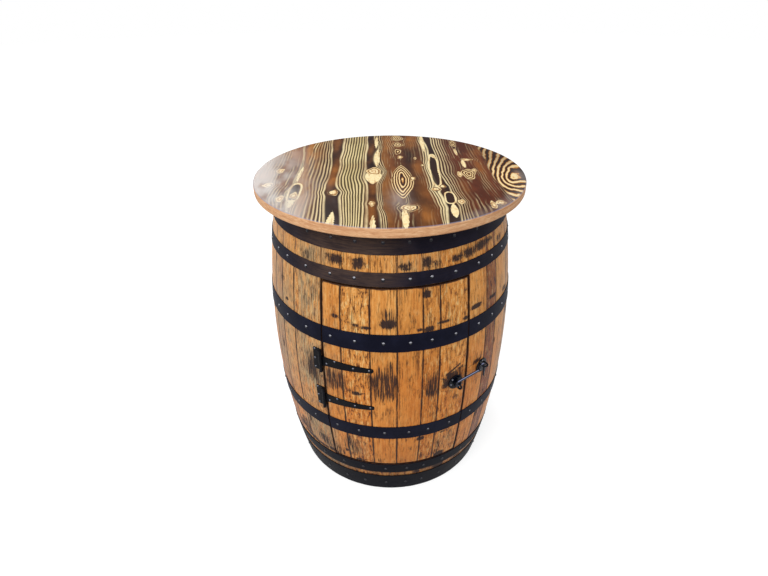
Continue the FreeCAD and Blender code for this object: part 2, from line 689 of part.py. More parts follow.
def bend(radius, rod_radius, centre, first_angle, last_angle):
    """Part of a ring of round rod in the latch plane, between two angles from +x."""
    section = Part.Wire(Part.makeCircle(rod_radius, V(radius, 0, 0), V(0, 1, 0)))
    ring = Part.Face(section).revolve(V(0, 0, 0), V(0, 0, 1), last_angle - first_angle)
    ring.rotate(V(0, 0, 0), V(0, 0, 1), first_angle)
    ring.translate(centre)
    return ring


def make_hook():
    """Round rod with an eye at the door, and an arch and a tip that drop over the catch's loop."""
    elbow_x = HOOK_LENGTH - 2 * HOOK_ARCH_RADIUS - HOOK_ELBOW_RADIUS
    closing = math.degrees(math.asin((HOOK_EYE_RADIUS - HOOK_ROD_RADIUS) / (HOOK_EYE_RADIUS + HOOK_ROD_RADIUS)))
    eye = bend(HOOK_EYE_RADIUS, HOOK_ROD_RADIUS, V(0, -HOOK_EYE_RADIUS, 0), 90, 360 + closing - EYE_END_GAP)
    rod = Part.makeCylinder(HOOK_ROD_RADIUS, elbow_x, V(0, 0, 0), V(1, 0, 0))
    elbow = bend(HOOK_ELBOW_RADIUS, HOOK_ROD_RADIUS, V(elbow_x, HOOK_ELBOW_RADIUS, 0), -90, 0)
    riser = Part.makeCylinder(
        HOOK_ROD_RADIUS, HOOK_ARCH_RISE - HOOK_ELBOW_RADIUS,
        V(elbow_x + HOOK_ELBOW_RADIUS, HOOK_ELBOW_RADIUS, 0), V(0, 1, 0),
    )
    arch = bend(HOOK_ARCH_RADIUS, HOOK_ROD_RADIUS, ARCH_CENTRE, 0, 180)
    hook = rod.fuse([eye, elbow, riser, arch, hook_tip()]).removeSplitter()
    return in_latch_frame(hook.Solids[0])


def hook_tip():
    """Tapered tip with a rounded end, from the foot of the arch down."""
    length = HOOK_ARCH_RISE + HOOK_TIP_DROP
    waist = length - HOOK_TIP_RADIUS
    diagonal = HOOK_TIP_RADIUS * math.sqrt(0.5)
    round_end = Part.Arc(V(HOOK_TIP_RADIUS, 0, waist), V(diagonal, 0, waist + diagonal), V(0, 0, length))
    edges = [
        line_edge(V(0, 0, 0), V(HOOK_ROD_RADIUS, 0, 0)),
        line_edge(V(HOOK_ROD_RADIUS, 0, 0), V(HOOK_TIP_RADIUS, 0, waist)),
        round_end.toShape(),
        line_edge(V(0, 0, length), V(0, 0, 0)),
    ]
    tip = turned(edges)
    tip.rotate(V(0, 0, 0), V(1, 0, 0), 90)
    tip.translate(V(HOOK_LENGTH, HOOK_ARCH_RISE, 0))
    return tip


def staple(first_leg, second_leg, rod_radius, bend_rise):
    """U of round rod that stands out of the barrel, through two points of the latch plane."""
    spread = (second_leg - first_leg).Length
    centre = (first_leg + second_leg) * 0.5 + V(0, 0, bend_rise)
    depth = HOOK_STANDOFF + STAVE_THICKNESS
    legs = [
        Part.makeCylinder(rod_radius, depth + bend_rise, leg - V(0, 0, depth), V(0, 0, 1))
        for leg in (first_leg, second_leg)
    ]
    crown = bend(spread / 2, rod_radius, V(0, 0, 0), 0, 180)
    crown.rotate(V(0, 0, 0), V(1, 0, 0), 90)
    if abs(second_leg.y - first_leg.y) > abs(second_leg.x - first_leg.x):
        crown.rotate(V(0, 0, 0), V(0, 0, 1), 90)
    crown.translate(centre)
    return in_latch_frame(legs[0].fuse([legs[1], crown]))


def rose_centre(x, y):
    """Angle and height on the barrel behind a point of the latch plane."""
    angle = LATCH_ANGLE + math.degrees(math.asin((x - HOOK_LENGTH / 2) / BELLY_RADIUS))
    return angle, LATCH_HEIGHT + y


def rose(angle, height, loop, bores):
    """Round plate bent to the barrel, with its staple."""
    half_height = ROSE_RADIUS + OVERSHOOT
    half_angle = degrees_of(half_height)
    around = (angle - half_angle, angle + half_angle)
    plate = curved_block(*around, 0, ROSE_THICKNESS, height - half_height, height + half_height)
    disc = Part.makeCylinder(ROSE_RADIUS, 2 * STAVE_THICKNESS, V(0, 0, -STAVE_THICKNESS))
    plate = plate.common(place_on_barrel(disc, angle, height, 0))
    brim = [edge for edge in plate.Edges if is_outer_edge(edge)]
    plate = plate.makeFillet(ROSE_EDGE_ROUND, brim)
    wall = curved_block(*around, -2 * STAVE_THICKNESS, 0, height - half_height, height + half_height)
    standing = loop.cut(wall)
    return drill(plate.fuse(standing).removeSplitter(), bores)


def is_outer_edge(edge):
    """True for an edge that lies on the rose's outer face."""
    point = edge.valueAt((edge.FirstParameter + edge.LastParameter) / 2)
    middle_radius = radius_at(ROSE_THICKNESS / 2, point.z)
    return math.hypot(point.x, point.y) > middle_radius


def rose_screw_spots(name, angle, height):
    spots = []
    for turn in ROSE_SCREW_TURNS[name]:
        across = ROSE_SCREW_DISTANCE * math.cos(math.radians(turn))
        rise = ROSE_SCREW_DISTANCE * math.sin(math.radians(turn))
        spots.append((angle + degrees_of(across), height + rise, ROSE_THICKNESS))
    return spots


# ---- assembly ---------------------------------------------------------------------------------------
def export(name, solids):
    """Writes one node: a solid, or a group of separate solids."""
    shape = solids[0] if len(solids) == 1 else Part.makeCompound(solids)
    if not shape.isValid():
        raise ValueError("invalid shape: " + name)
    shape.exportStep("parts/" + name + ".step")


def build_shell():
    """Staves, hoops and nails of the barrel and of the door."""
    barrel_spots = nail_spots(HOOPS, WHOLE_SPANS)
    barrel_spots += nail_spots([name for name in HOOPS if name not in DOOR_HOOPS], FRONT_SPANS)
    barrel_nails, barrel_bores = place_fasteners(HOOP_NAIL, barrel_spots, recess=False)
    door_nails, door_bores = place_fasteners(HOOP_NAIL, nail_spots(DOOR_HOOPS, FRONT_SPANS), recess=False)
    export("barrel_hoop_nails", barrel_nails)
    export("door_hoop_nails", door_nails)
    for name, hoop in make_hoops(barrel_bores).items():
        export(name, [hoop])
    edges = (-DOOR_HALF_ANGLE + KERF_ANGLE, DOOR_HALF_ANGLE - KERF_ANGLE)
    export("door_hoops", [drill(hoop_band(name, *edges), door_bores) for name in DOOR_HOOPS])
    return barrel_bores, door_bores


def build_latch():
    """Hook, door rose and catch rose; returns the screw spots of the two roses."""
    pivot = V(0, -PIVOT_DROP, 0)
    loop_left = V(LOOP_LEFT, LOOP_LEVEL, 0)
    loop_right = V(LOOP_RIGHT, LOOP_LEVEL, 0)
    catch_x = (LOOP_LEFT + LOOP_RIGHT) / 2
    places = {"door_rose": rose_centre(0, -ROSE_DROP), "catch_rose": rose_centre(catch_x, 0)}
    loops = {
        "door_rose": staple(pivot, pivot - V(0, STAPLE_SPREAD, 0), STAPLE_RADIUS, HOOK_ROD_RADIUS),
        "catch_rose": staple(loop_left, loop_right, LOOP_RADIUS, 0),
    }
    spots = {name: rose_screw_spots(name, *places[name]) for name in places}
    for name, (angle, height) in places.items():
        bores = place_fasteners(BLACK_SCREW, spots[name])[1]
        export(name, [rose(angle, height, loops[name], bores)])
    export("cabin_hook", [make_hook()])
    return spots


def build():
    os.makedirs("parts", exist_ok=True)
    barrel_bores, door_bores = build_shell()
    rose_spots = build_latch()

    black, black_bores = place_fasteners(BLACK_SCREW, leaf_screw_spots() + rose_spots["catch_rose"])
    export("barrel_hardware_screws", black)
    black_door, black_door_bores = place_fasteners(BLACK_SCREW, strap_screw_spots() + rose_spots["door_rose"])
    export("door_hardware_screws", black_door)
    inside, inside_bores = place_fasteners(INSIDE_SCREW, stop_screw_spots() + cleat_screw_spots(), True)
    export("inside_screws", inside)
    batten_screws, batten_bores = place_fasteners(DOOR_BATTEN_SCREW, door_batten_screw_spots(), True)
    export("door_batten_screws", batten_screws)
    top_screws, top_bores = table_screws()
    export("table_screws", top_screws)

    whole_bores = barrel_bores + black_bores + inside_bores
    for number, span in enumerate(WHOLE_SPANS, 1):
        stave = stave_between(span, 0, BARREL_HEIGHT)
        export("stave_%02d" % number, [drill(stave, whole_bores)])
    headers = [stave_between(span, OPENING_TOP, BARREL_HEIGHT) for span in FRONT_SPANS]
    export("short_staves_above_door", [drill(stave, barrel_bores) for stave in headers])
    sills = [stave_between(span, 0, OPENING_BOTTOM) for span in FRONT_SPANS]
    export("short_staves_below_door", [drill(stave, barrel_bores) for stave in sills])
    for number, span in enumerate(door_spans(), 1):
        stave = stave_between(span, DOOR_BOTTOM, DOOR_TOP)
        export("door_stave_%d" % number, [drill(stave, door_bores + black_door_bores + batten_bores)])

    export("upper_head", barrel_head(UPPER_HEAD_BOTTOM, top_bores))
    export("lower_head", barrel_head(HEAD_INSET, []))
    export("table_top", make_table_top(top_bores))
    export("table_battens", make_top_battens(top_bores))
    export("shelf", make_shelf())
    export("shelf_cleats", make_cleats(inside_bores))
    export("door_battens", make_door_battens(batten_bores))
    export("door_stop", [make_door_stop(inside_bores)])

    export("hinge_leaves", [hinge_leaf(height, black_bores) for height in HINGE_HEIGHTS])
    export("hinge_straps", [hinge_strap(height, black_door_bores) for height in HINGE_HEIGHTS])
    export("hinge_pins", [hinge_pin(height) for height in HINGE_HEIGHTS])


build()
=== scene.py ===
"""Barrel bar cabinet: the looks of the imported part.

Metres, in the part's own frame: +Z up, the door faces -Y. Angles about the barrel's axis are 0 at the front
and grow anticlockwise as seen from above.
"""
import math

import bpy
import numpy as np
from mathutils import Matrix, Vector


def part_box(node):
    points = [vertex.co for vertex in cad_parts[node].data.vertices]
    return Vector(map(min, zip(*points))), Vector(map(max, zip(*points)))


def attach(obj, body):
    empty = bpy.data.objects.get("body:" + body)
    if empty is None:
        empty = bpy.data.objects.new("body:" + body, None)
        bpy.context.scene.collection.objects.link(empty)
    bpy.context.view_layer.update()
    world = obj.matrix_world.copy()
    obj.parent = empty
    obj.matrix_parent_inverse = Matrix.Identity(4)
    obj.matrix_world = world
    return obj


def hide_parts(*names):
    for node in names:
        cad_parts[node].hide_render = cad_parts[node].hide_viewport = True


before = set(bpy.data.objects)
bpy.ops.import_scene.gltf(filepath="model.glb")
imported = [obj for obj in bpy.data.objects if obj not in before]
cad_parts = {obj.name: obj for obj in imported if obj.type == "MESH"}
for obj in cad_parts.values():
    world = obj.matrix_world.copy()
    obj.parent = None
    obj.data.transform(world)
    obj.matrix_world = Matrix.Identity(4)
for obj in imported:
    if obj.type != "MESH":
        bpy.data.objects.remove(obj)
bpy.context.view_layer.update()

MM = 0.001

# ---- camera, fitted to the photograph ---------------------------------------------------------------
PICTURE_WIDTH = 768
PICTURE_HEIGHT = 576
FOCAL_PIXELS = 514.4
PRINCIPAL_X = 390.3
PRINCIPAL_Y = 296.86
SENSOR_WIDTH = 36.0
CAMERA_PLACE = Vector((-0.0587, -1.3446, 1.3722))
CAMERA_PITCH = 32.452
CAMERA_YAW = -2.5
CAMERA_ROLL = -0.2865

# ---- light ------------------------------------------------------------------------------------------
AMBIENT = 0.70
KEY_PLACE = Vector((-1.1, -2.3, 2.9))
KEY_SIZE = 1.8
KEY_POWER = 60.0
GLARE_PLACE = Vector((-1.45, 2.7, 2.0))
GLARE_SIZE = 1.3
GLARE_COLOUR = (0.84, 0.91, 1.0)
GLARE_POWER = 44.0
LIGHT_TARGET = Vector((0.0, 0.0, 0.5))
FLOOR_RADIUS = 14.0
FLOOR_GLOW = 0.72
# The floor's two greys: place on its noise, and how much light it throws back.
FLOOR_ALBEDOS = [(0.3, 0.42), (0.7, 0.4284)]
WHITE = (1.0, 1.0, 1.0, 1.0)

# ---- barrel sizes -----------------------------------------------------------------------------------
BARREL_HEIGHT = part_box("stave_01")[1].z
BELLY_RADIUS = 0.353
END_RADIUS = 0.3045
STAVE_THICKNESS = 0.027
CHIME_BEVEL_HEIGHT = 0.024
CHIME_BEVEL_DEPTH = 0.009
CROZE_BOTTOM = 0.04285
CROZE_TOP = 0.05115
CROZE_DEPTH = 0.006
HOOP_THICKNESS = 0.0018
WHOLE_STAVES = ["stave_%02d" % number for number in range(1, 25)]
DOOR_STAVES = ["door_stave_%d" % number for number in range(1, 7)]
CLOSED_HOOPS = ["upper_chime_hoop", "upper_quarter_hoop", "lower_quarter_hoop", "lower_chime_hoop"]
SAWN_HOOPS = ["upper_bilge_hoop", "lower_bilge_hoop"]

# ---- softened edges and mesh pitches ----------------------------------------------------------------
ARRIS = 0.0011
CLEAN_SIDE = 0.010
SLIVER = 0.00002
HOLLOW_DEPTH = 0.00016
GRAIN_SHIFT_ACROSS = 0.37
GRAIN_SHIFT_ALONG = 0.11
FRONT_PITCH = 0.004
BACK_PITCH = 0.010
FRONT_REACH = math.radians(80)
HOOP_PITCH = math.radians(1.5)
HOOP_ARRIS = 0.0005
HOOP_FACE_PITCH = 0.006
DENT_DEPTH = 0.00012
LAP_LENGTH = 0.052
RIVET_RADIUS = 0.0045
RIVET_RISE = 0.0014

# ---- table top --------------------------------------------------------------------------------------
TABLE_LOW, TABLE_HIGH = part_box("table_top")
TABLE_RADIUS = TABLE_HIGH.x
TABLE_ROUND = 0.004
TABLE_RINGS = 140
TABLE_SPOKES = 560
RIM_WEAR = 0.0004
RIM_WEAR_REACH = 0.003
GRAIN_TURN = math.radians(2.5)

MIDDLE = BARREL_HEIGHT / 2
SAG = BELLY_RADIUS - END_RADIUS
ARC_RADIUS = (MIDDLE ** 2 + SAG ** 2) / (2 * SAG)


# ---- material graphs --------------------------------------------------------------------------------
def srgb(red, green, blue):
    """Linear colour of a screen colour in 0-255."""
    shares = [channel / 255 for channel in (red, green, blue)]
    linear = [s / 12.92 if s < 0.04045 else ((s + 0.055) / 1.055) ** 2.4 for s in shares]
    return (*linear, 1.0)


class Value:
    """An output in a material's graph that can be added, subtracted, multiplied and divided."""

    def __init__(self, graph, socket):
        self.graph = graph
        self.socket = socket

    def __add__(self, other):
        return self.graph.math("ADD", self, other)

    def __sub__(self, other):
        return self.graph.math("SUBTRACT", self, other)

    def __rsub__(self, other):
        return self.graph.math("SUBTRACT", other, self)

    def __mul__(self, other):
        return self.graph.math("MULTIPLY", self, other)

    def __truediv__(self, other):
        return self.graph.math("DIVIDE", self, other)


class Graph:
    """Short way to write the nodes of one material."""

    def __init__(self, name, **shader):
        self.material = bpy.data.materials.new(name)
        self.material.use_nodes = True
        self.tree = self.material.node_tree
        self.tree.nodes.clear()
        self.shader = self.tree.nodes.new("ShaderNodeBsdfPrincipled")
        output = self.tree.nodes.new("ShaderNodeOutputMaterial")
        self.tree.links.new(self.shader.outputs["BSDF"], output.inputs["Surface"])
        self.set(**shader)

    def set(self, **inputs):
        """Sets or links inputs of the shader; a_b stands for the input A B."""
        for name, value in inputs.items():
            label = name.replace("_", " ").title().replace("Ior", "IOR")
            self.put(self.shader.inputs[label], value)

    def put(self, socket, value):
        if isinstance(value, Value):
            self.tree.links.new(value.socket, socket)
        else:
            socket.default_value = value

    def node(self, kind, inputs, **settings):
        node = self.tree.nodes.new("ShaderNode" + kind)
        for name, value in settings.items():
            setattr(node, name, value)
        for place, value in inputs.items():
            self.put(node.inputs[place], value)
        return node

    def add(self, kind, inputs, output=0, **settings):
        """Adds a node and gives one of its outputs."""
        return Value(self, self.node(kind, inputs, **settings).outputs[output])

    def attribute(self, name, output="Fac"):
        return self.add("Attribute", {}, output, attribute_name=name)

    def place(self):
        """Position in the part's frame, in metres."""
        return self.add("TexCoord", {}, "Object")

    def facing(self, direction, low, high):
        """1 where the piece's own surface faces this direction of the part's frame."""
        ends = {0: self.add("TexCoord", {}, "Normal"), 1: direction}
        return self.step(self.add("VectorMath", ends, "Value", operation="DOT_PRODUCT"), low, high)

    def part(self, vector, axis):
        return self.add("SeparateXYZ", {0: vector}, axis)

    def stretch(self, vector, x, y, z):
        return self.add("VectorMath", {0: vector, 1: (x, y, z)}, operation="MULTIPLY")

    def math(self, operation, first, second=0.0):
        return self.add("Math", {0: first, 1: second}, operation=operation)

    def noise(self, vector, scale, detail=2.0, roughness=0.5, distortion=0.0):
        inputs = {"Vector": vector, "Scale": scale, "Detail": detail}
        inputs.update({"Roughness": roughness, "Distortion": distortion})
        return self.add("TexNoise", inputs, "Fac")

    def grain(self, vector, scales, detail=2.0, roughness=0.5, distortion=0.0):
        """Noise with a scale of its own along each axis."""
        return self.noise(self.stretch(vector, *scales), 1.0, detail, roughness, distortion)

    def cells(self, vector, scale):
        return self.add("TexVoronoi", {"Vector": vector, "Scale": scale}, "Distance")

    def step(self, value, low, high, start=0.0, end=1.0):
        """Smooth step of a value from low to high."""
        inputs = {"Value": value, "From Min": low, "From Max": high, "To Min": start, "To Max": end}
        return self.add("MapRange", inputs, interpolation_type="SMOOTHSTEP")

    def ramp(self, value, stops):
        node = self.node("ValToRGB", {0: value})
        elements = node.color_ramp.elements
        for number, (position, colour) in enumerate(stops):
            element = elements[number] if number < 2 else elements.new(position)
            element.position = position
            element.color = colour
        return Value(self, node.outputs[0])

    def mix(self, share, first, second, blend="MIX"):
        return self.add("Mix", {0: share, 6: first, 7: second}, 2, data_type="RGBA", blend_type=blend)

    def bump(self, height, distance):
        return self.add("Bump", {"Height": height, "Distance": distance, "Strength": 1.0})


# ---- wood -------------------------------------------------------------------------------------------
CHAR = srgb(33, 25, 29)
CHAR_HALO = srgb(96, 62, 40)
SMOKE = srgb(92, 50, 26)
SEAM_DIRT = srgb(38, 19, 17)
GRIME = srgb(44, 26, 16)
GREY_OAK = srgb(180, 156, 118)
GREY_OAK_LINES = srgb(54, 40, 30)
INSIDE_OAK = srgb(84, 50, 26)
PALE_FLECK = srgb(244, 206, 138)
DARK_FLECK = srgb(84, 42, 22)
VEIN = srgb(112, 58, 24)
UMBER_TINT = srgb(160, 138, 136)
WARM_TINT = srgb(255, 238, 222)
FOOT_SHADE = srgb(224, 190, 150)
BOARD_KNOT = srgb(70, 42, 24)
BOARD_STAIN = srgb(112, 80, 50)
OAK_TONES = [
    (0.24, srgb(134, 69, 26)), (0.38, srgb(190, 115, 50)), (0.52, srgb(218, 145, 69)),
    (0.66, srgb(230, 166, 92)), (0.82, srgb(242, 199, 136)),
]
# Dirt in the seams: full up to the first distance from a seam, gone at the second.
SEAM_CORE = 0.0010
SEAM_REACH = 0.0036


def thin_lines(g, noise, width):
    """1 on thin wandering lines: where a noise crosses its middle."""
    return g.step(g.math("ABSOLUTE", noise - 0.5), 0.0, width, 1.0, 0.0)


def bare_oak(g, lay, streak, fibre, clouds):
    """Colour of the oak before any fire, and its dark pores."""
    broad = g.grain(lay, (16, 16, 2.4), 3.0)
    ticks = g.grain(lay, (420, 90, 34), 4.0, 0.66)
    mottle = g.grain(lay, (104, 48, 30), 5.0, 0.72)
    height = g.part(g.place(), 2)
    mottled = g.attribute("mottled")
    blotchy = g.step(mottled, 0.1, 0.7)
    weather = g.attribute("weather")

    shade = streak * 0.55 + broad * 0.45 + (fibre - 0.5) * 0.25 + (g.attribute("tone") - 0.5)
    colour = g.ramp(shade, OAK_TONES)
    flecked = mottled * 0.85 + 0.12 + g.step(height, 0.34, 0.20, 0.0, 0.55) * blotchy
    flecked = g.math("MINIMUM", flecked, 1.0)
    colour = g.mix(flecked * g.step(mottle, 0.53, 0.59, 0.0, 0.72), colour, PALE_FLECK)
    colour = g.mix(flecked * g.step(mottle, 0.455, 0.41, 0.0, 0.92), colour, DARK_FLECK)
    colour = g.mix(g.attribute("umber"), colour, UMBER_TINT, "MULTIPLY")
    veins = g.step(streak, 0.42, 0.30) * g.step(clouds, 0.40, 0.60, 0.2, 1.0)
    colour = g.mix(veins * 0.55, colour, VEIN)
    warmth = g.step(height, 0.62, 0.46) * g.step(height, 0.10, 0.26)
    colour = g.mix(warmth, colour, WARM_TINT, "MULTIPLY")
    colour = g.mix(weather * g.step(streak + clouds * 0.5, 0.55, 0.85), colour, GREY_OAK)
    colour = g.mix(weather * g.step(ticks, 0.52, 0.60) * 0.85, colour, GREY_OAK_LINES)
    pores = g.step(ticks, 0.555, 0.63) * g.step(broad, 0.40, 0.60, 0.35, 1.0) * (blotchy * 0.55 + 0.45)
    return colour, pores


def charred(g, lay, char, scorch, ragged):
    """1 on charred wood: torn patches, and dark lines along the grain in the scorched ones."""
    flecks = g.grain(lay, (420, 200, 150), 3.0, 0.6)
    scratch = g.grain(lay, (290, 70, 15), 3.0, 0.62)
    burnt = g.step(char + (ragged * 2.2 + flecks * 1.4), 2.18, 2.46) * g.step(char, 0.04, 0.30)
    lined = g.step(scorch * 0.55 + scratch * 2.2, 1.41, 1.56) * g.step(scorch, 0.08, 0.4)
    return g.math("MAXIMUM", burnt * 0.92, lined * 0.9)


def barrel_wood():
    """Oiled oak staves: straight grain, fine cracks, scorched patches, dirt in the seams."""
    g = Graph("barrel_wood", coat_weight=0.08, coat_roughness=0.3, specular_ior_level=0.12)
    lay = g.attribute("lay", "Vector")
    marks = g.attribute("marks", "Color")
    char, scorch, grime = [g.add("SeparateColor", {0: marks}, channel) for channel in range(3)]
    streak = g.grain(lay, (260, 60, 5), 4.0, 0.62)
    fibre = g.grain(lay, (1100, 300, 40), 2.0)
    clouds = g.grain(lay, (34, 20, 18), 4.0, 0.6)
    ragged = g.grain(lay, (250, 70, 26), 5.0, 0.70)
    cracks = thin_lines(g, g.grain(lay, (150, 60, 5), 3.0, 0.6), 0.022) * g.step(clouds, 0.44, 0.56)

    colour, pores = bare_oak(g, lay, streak, fibre, clouds)
    colour = g.mix(g.attribute("inside") * 0.72, colour, INSIDE_OAK)
    colour = g.mix(g.step(scorch + clouds * 0.4, 0.3, 1.2) * 0.34, colour, SMOKE)
    colour = g.mix(g.step(char + clouds * 0.4, 0.3, 1.1) * 0.55, colour, CHAR_HALO)
    colour = g.mix(cracks * 0.8, colour, SEAM_DIRT)
    colour = g.mix(pores * 0.8, colour, SEAM_DIRT)
    # Painted shade: darker towards the foot, where the lower staves face down.
    colour = g.mix(g.step(g.part(g.place(), 2), 0.34, 0.04) * 0.6, colour, FOOT_SHADE, "MULTIPLY")
    dark = charred(g, lay, char, scorch, ragged)
    colour = g.mix(dark, colour, CHAR)
    dirt = grime + (clouds - 0.5) * 0.9 + (ragged - 0.5) * 0.8
    colour = g.mix(g.step(dirt, 0.25, 1.0, 0.0, 0.85), colour, GRIME)
    seam = g.attribute("seam") + (clouds - 0.5) * 0.008
    colour = g.mix(g.step(seam, SEAM_CORE, SEAM_REACH, 0.95, 0.0), colour, SEAM_DIRT)

    rough = streak * 0.22 + dark * 0.25 + 0.36
    height = streak * 0.6 + fibre * 0.3 - cracks * 1.1 - dark * (ragged * 0.9)
    g.set(base_color=colour, roughness=rough, normal=g.bump(height, 0.0007))
    return g.material


def plain_wood(name, along, dark, light):
    """Sawn board: grain along one axis of the part's frame, with a few knots."""
    g = Graph(name, specular_ior_level=0.35)
    scales = {"X": (3, 90, 90), "Y": (90, 3, 90), "Z": (90, 90, 3)}[along]
    place = g.place()
    warp = g.noise(place, 5.0, 3.0)
    grain = g.grain(place, scales, 4.0, 0.65, 0.6)
    fibre = g.grain(place, [scale * 9 for scale in scales], 2.0)
    rings = g.math("SINE", (grain + warp) * 34.0)
    spots = g.cells(g.stretch(place, *[min(scale, 9) for scale in scales]), 1.0)
    colour = g.mix(g.step(grain * 0.7 + rings * 0.06 + fibre * 0.25, 0.25, 0.72), dark, light)
    colour = g.mix(g.step(spots, 0.05, 0.16, 1.0, 0.0) * 0.55, colour, BOARD_KNOT)
    colour = g.mix(g.step(warp, 0.52, 0.75, 0.0, 0.35), colour, BOARD_STAIN)
    height = grain * 0.5 + fibre * 0.5
    g.set(base_color=colour, roughness=fibre * 0.2 + 0.45, normal=g.bump(height, 0.0006))
    return g.material


# ---- burnt pine of the table top --------------------------------------------------------------------
CREAM = srgb(250, 230, 178)
PALE_LINE = srgb(246, 222, 168)
GOLD = srgb(226, 168, 92)
OLIVE = srgb(178, 160, 94)
AMBER = srgb(172, 112, 46)
TAN = srgb(134, 84, 38)
GLOW = srgb(170, 104, 42)
BROWN = srgb(112, 62, 28)
UMBER = srgb(44, 22, 16)
RED_BROWN = srgb(98, 44, 20)
PAINTED_GLARE_WHITE = srgb(204, 198, 192)
ARRIS_HIGHLIGHT = srgb(150, 156, 186)
SOOT_VEIL = srgb(120, 88, 70)
RIM_STAIN = srgb(184, 124, 84)
RIM_TONES = [
    (0.28, srgb(186, 130, 90)), (0.46, srgb(216, 164, 120)),
    (0.62, srgb(230, 184, 140)), (0.8, srgb(242, 208, 168)),
]
RING_TONES = [(0.0, UMBER), (0.36, BROWN), (0.56, AMBER), (0.76, GOLD), (1.0, PALE_LINE)]

# Where the main grain lines run: each row holds a line's value, then its places across the top at these
# distances from the middle, in millimetres.
STATIONS = (-340, -300, -250, -200, -150, -100, -50, 0, 50, 100, 150, 200, 250, 300, 340)
GRAIN_LINES = [
    (-250, -226, -226, -232, -245, -250, -243, -238, -238, -240, -245, -250, -256, -258, -250, -245),
    (-228, -214, -215, -219, -216, -215, -226, -230, -232, -230, -232, -232, -235, -232, -226, -220),
    (-188, -162, -165, -169, -172, -176, -178, -179, -180, -183, -185, -188, -190, -193, -195, -196),
    (-169.6, -142, -148, -153, -157, -160, -162, -158, -160, -162, -166, -170, -172, -178, -182, -184),
    (-138.4, -104, -108, -113, -118, -121, -134, -138, -136, -137, -140, -138, -137, -140, -142, -143),
    (-80, -66, -66, -66, -66, -68, -70, -80, -80, -78, -79, -79, -79, -80, -80, -80),
    (-68.2, -52, -52, -52, -52, -54, -58, -70, -70, -67, -68, -70, -69, -71, -72, -72),
    (-44.8, -18, -20, -24, -26, -30, -32, -25, -12, -36, -44, -42, -33, -30, -46, -47),
    (-21.4, -4, -6, -12, -14, -18, -20, -14, -6, -16, -22, -22, -22, -22, -22, -22),
    (4, 10, 16, 22, 32, 22, 12, -2, -2, 2, 6, 8, 2, 0, -2, 0),
    (44, 62, 66, 70, 56, 52, 58, 56, 50, 42, 40, 40, 38, 42, 45, 50),
    (92, 114, 112, 110, 108, 100, 98, 98, 95, 92, 92, 94, 94, 92, 88, 86),
    (111.1, 124, 126, 128, 125, 116, 118, 116, 109, 105, 110, 112, 114, 112, 105, 98),
    (134.5, 156, 158, 160, 158, 150, 146, 140, 135, 134, 136, 134, 131, 131, 132, 130),
    (168, 190, 185, 184, 182, 176, 175, 176, 172, 170, 168, 166, 165, 165, 165, 160),
    (205, 242, 241, 240, 238, 230, 225, 215, 205, 200, 200, 198, 200, 203, 205, 206),
    (268, 300, 298, 295, 290, 285, 280, 270, 268, 272, 275, 275, 270, 265, 262, 260),
]
# Tones between the lines: the value on the scale above from which each rules.
GRAIN_TONES = [
    (-360, AMBER), (-255, BROWN), (-252, CREAM), (-248, BROWN), (-236, AMBER), (-172, BROWN),
    (-170.5, CREAM), (-168.5, CREAM), (-166, UMBER), (-142, UMBER), (-139.5, CREAM), (-137.5, CREAM),
    (-135, BROWN), (-126, OLIVE), (-80, OLIVE), (-71, BROWN), (-69, CREAM), (-67, CREAM), (-65, UMBER),
    (-48, UMBER), (-45.5, CREAM), (-43, BROWN), (-18, TAN), (8, BROWN), (60, UMBER), (92, BROWN),
    (110, CREAM), (112, CREAM), (114, UMBER), (132, UMBER), (134.5, CREAM), (137, RED_BROWN),
]
# How strongly the finer lines show, on the same scale.
LINE_STRENGTHS = [
    (-360, 0.3), (-262, 0.6), (-205, 0.85), (-180, 1), (-171.5, 1), (-169, 0), (-139, 0), (-136, 1),
    (-71, 1), (-68.5, 0), (-45, 0), (-42, 1), (-24, 1), (-14, 0.1), (2, 0.5), (14, 0.6), (40, 0.5),
    (50, 0), (84, 0.3), (94, 1), (109, 1), (111, 0), (134, 0), (137, 1), (168, 0.85), (200, 0.65),
    (250, 0.5), (268, 0.7),
]
# Knots: place, half width, half length, rings inside, how pale the eye is (millimetres).
KNOTS = [
    (-43, 3, 20, 28, 2.25, 0.8), (-41, -225, 7, 15, 1.25, 1), (-137, -153, 12, 19, 1.25, 1),
    (-232, -172, 10, 21, 1.25, 1), (60, -55, 7, 15, 1.25, 0.9), (47, -251, 20, 18, 2.25, 0.9),
    (30, 124, 7, 15, 1.25, 0.9), (113, -133, 11, 12, 1.25, 0.9), (132, -114, 8, 12, 1.25, 0.9),
    (166, -215, 8, 13, 1.25, 0.8), (187, -25, 7, 20, 1.25, 0.9), (210, -22, 17, 40, 3.25, 0.1),
    (218, 98, 15, 10, 1.25, 0.95), (227, 8, 7, 11, 1.25, 0.6), (238, -235, 7, 22, 1.25, 0.7),
    (258, -221, 12, 12, 1.25, 0.9), (-307, -100, 13, 16, 1.25, 0.8), (-293, 8, 10, 18, 1.25, 0.8),
    (24, 250, 15, 24, 2.25, 0.3), (23, 178, 9, 24, 1.25, 0.3), (24, 320, 17, 30, 3.25, 0),
    (-262, -192, 9, 20, 1.25, 0.9), (196, 262, 9, 34, 2.25, 0), (92, 50, 5, 12, 1.25, 0.5),
    (72, 112, 4, 10, 1.25, 0.6),
]
# Nested pointed rings: place, half width, half length, rings inside.
NESTS = [(32, -72, 28, 128, 4.25)]
# Long dark loops with a cream outline, and pointed cream tongues: place, half width, half length.
DARK_LOOPS = [(121, 12, 10, 122), (-233, -150, 12, 56), (142, -190, 10, 34)]
CREAM_TONGUES = [
    (-44, -36, 25, 66), (-35, 120, 9, 90), (-42, 275, 6, 70), (-130, -340, 10, 80), (-38, -350, 7, 66),
    (34, -310, 9, 66), (146, -268, 10, 46), (102, 270, 7, 110), (-237, -20, 5, 70), (196, 172, 5, 40),
    (205, 62, 7, 40), (-232, -222, 8, 30), (125, 134, 7, 22),
]
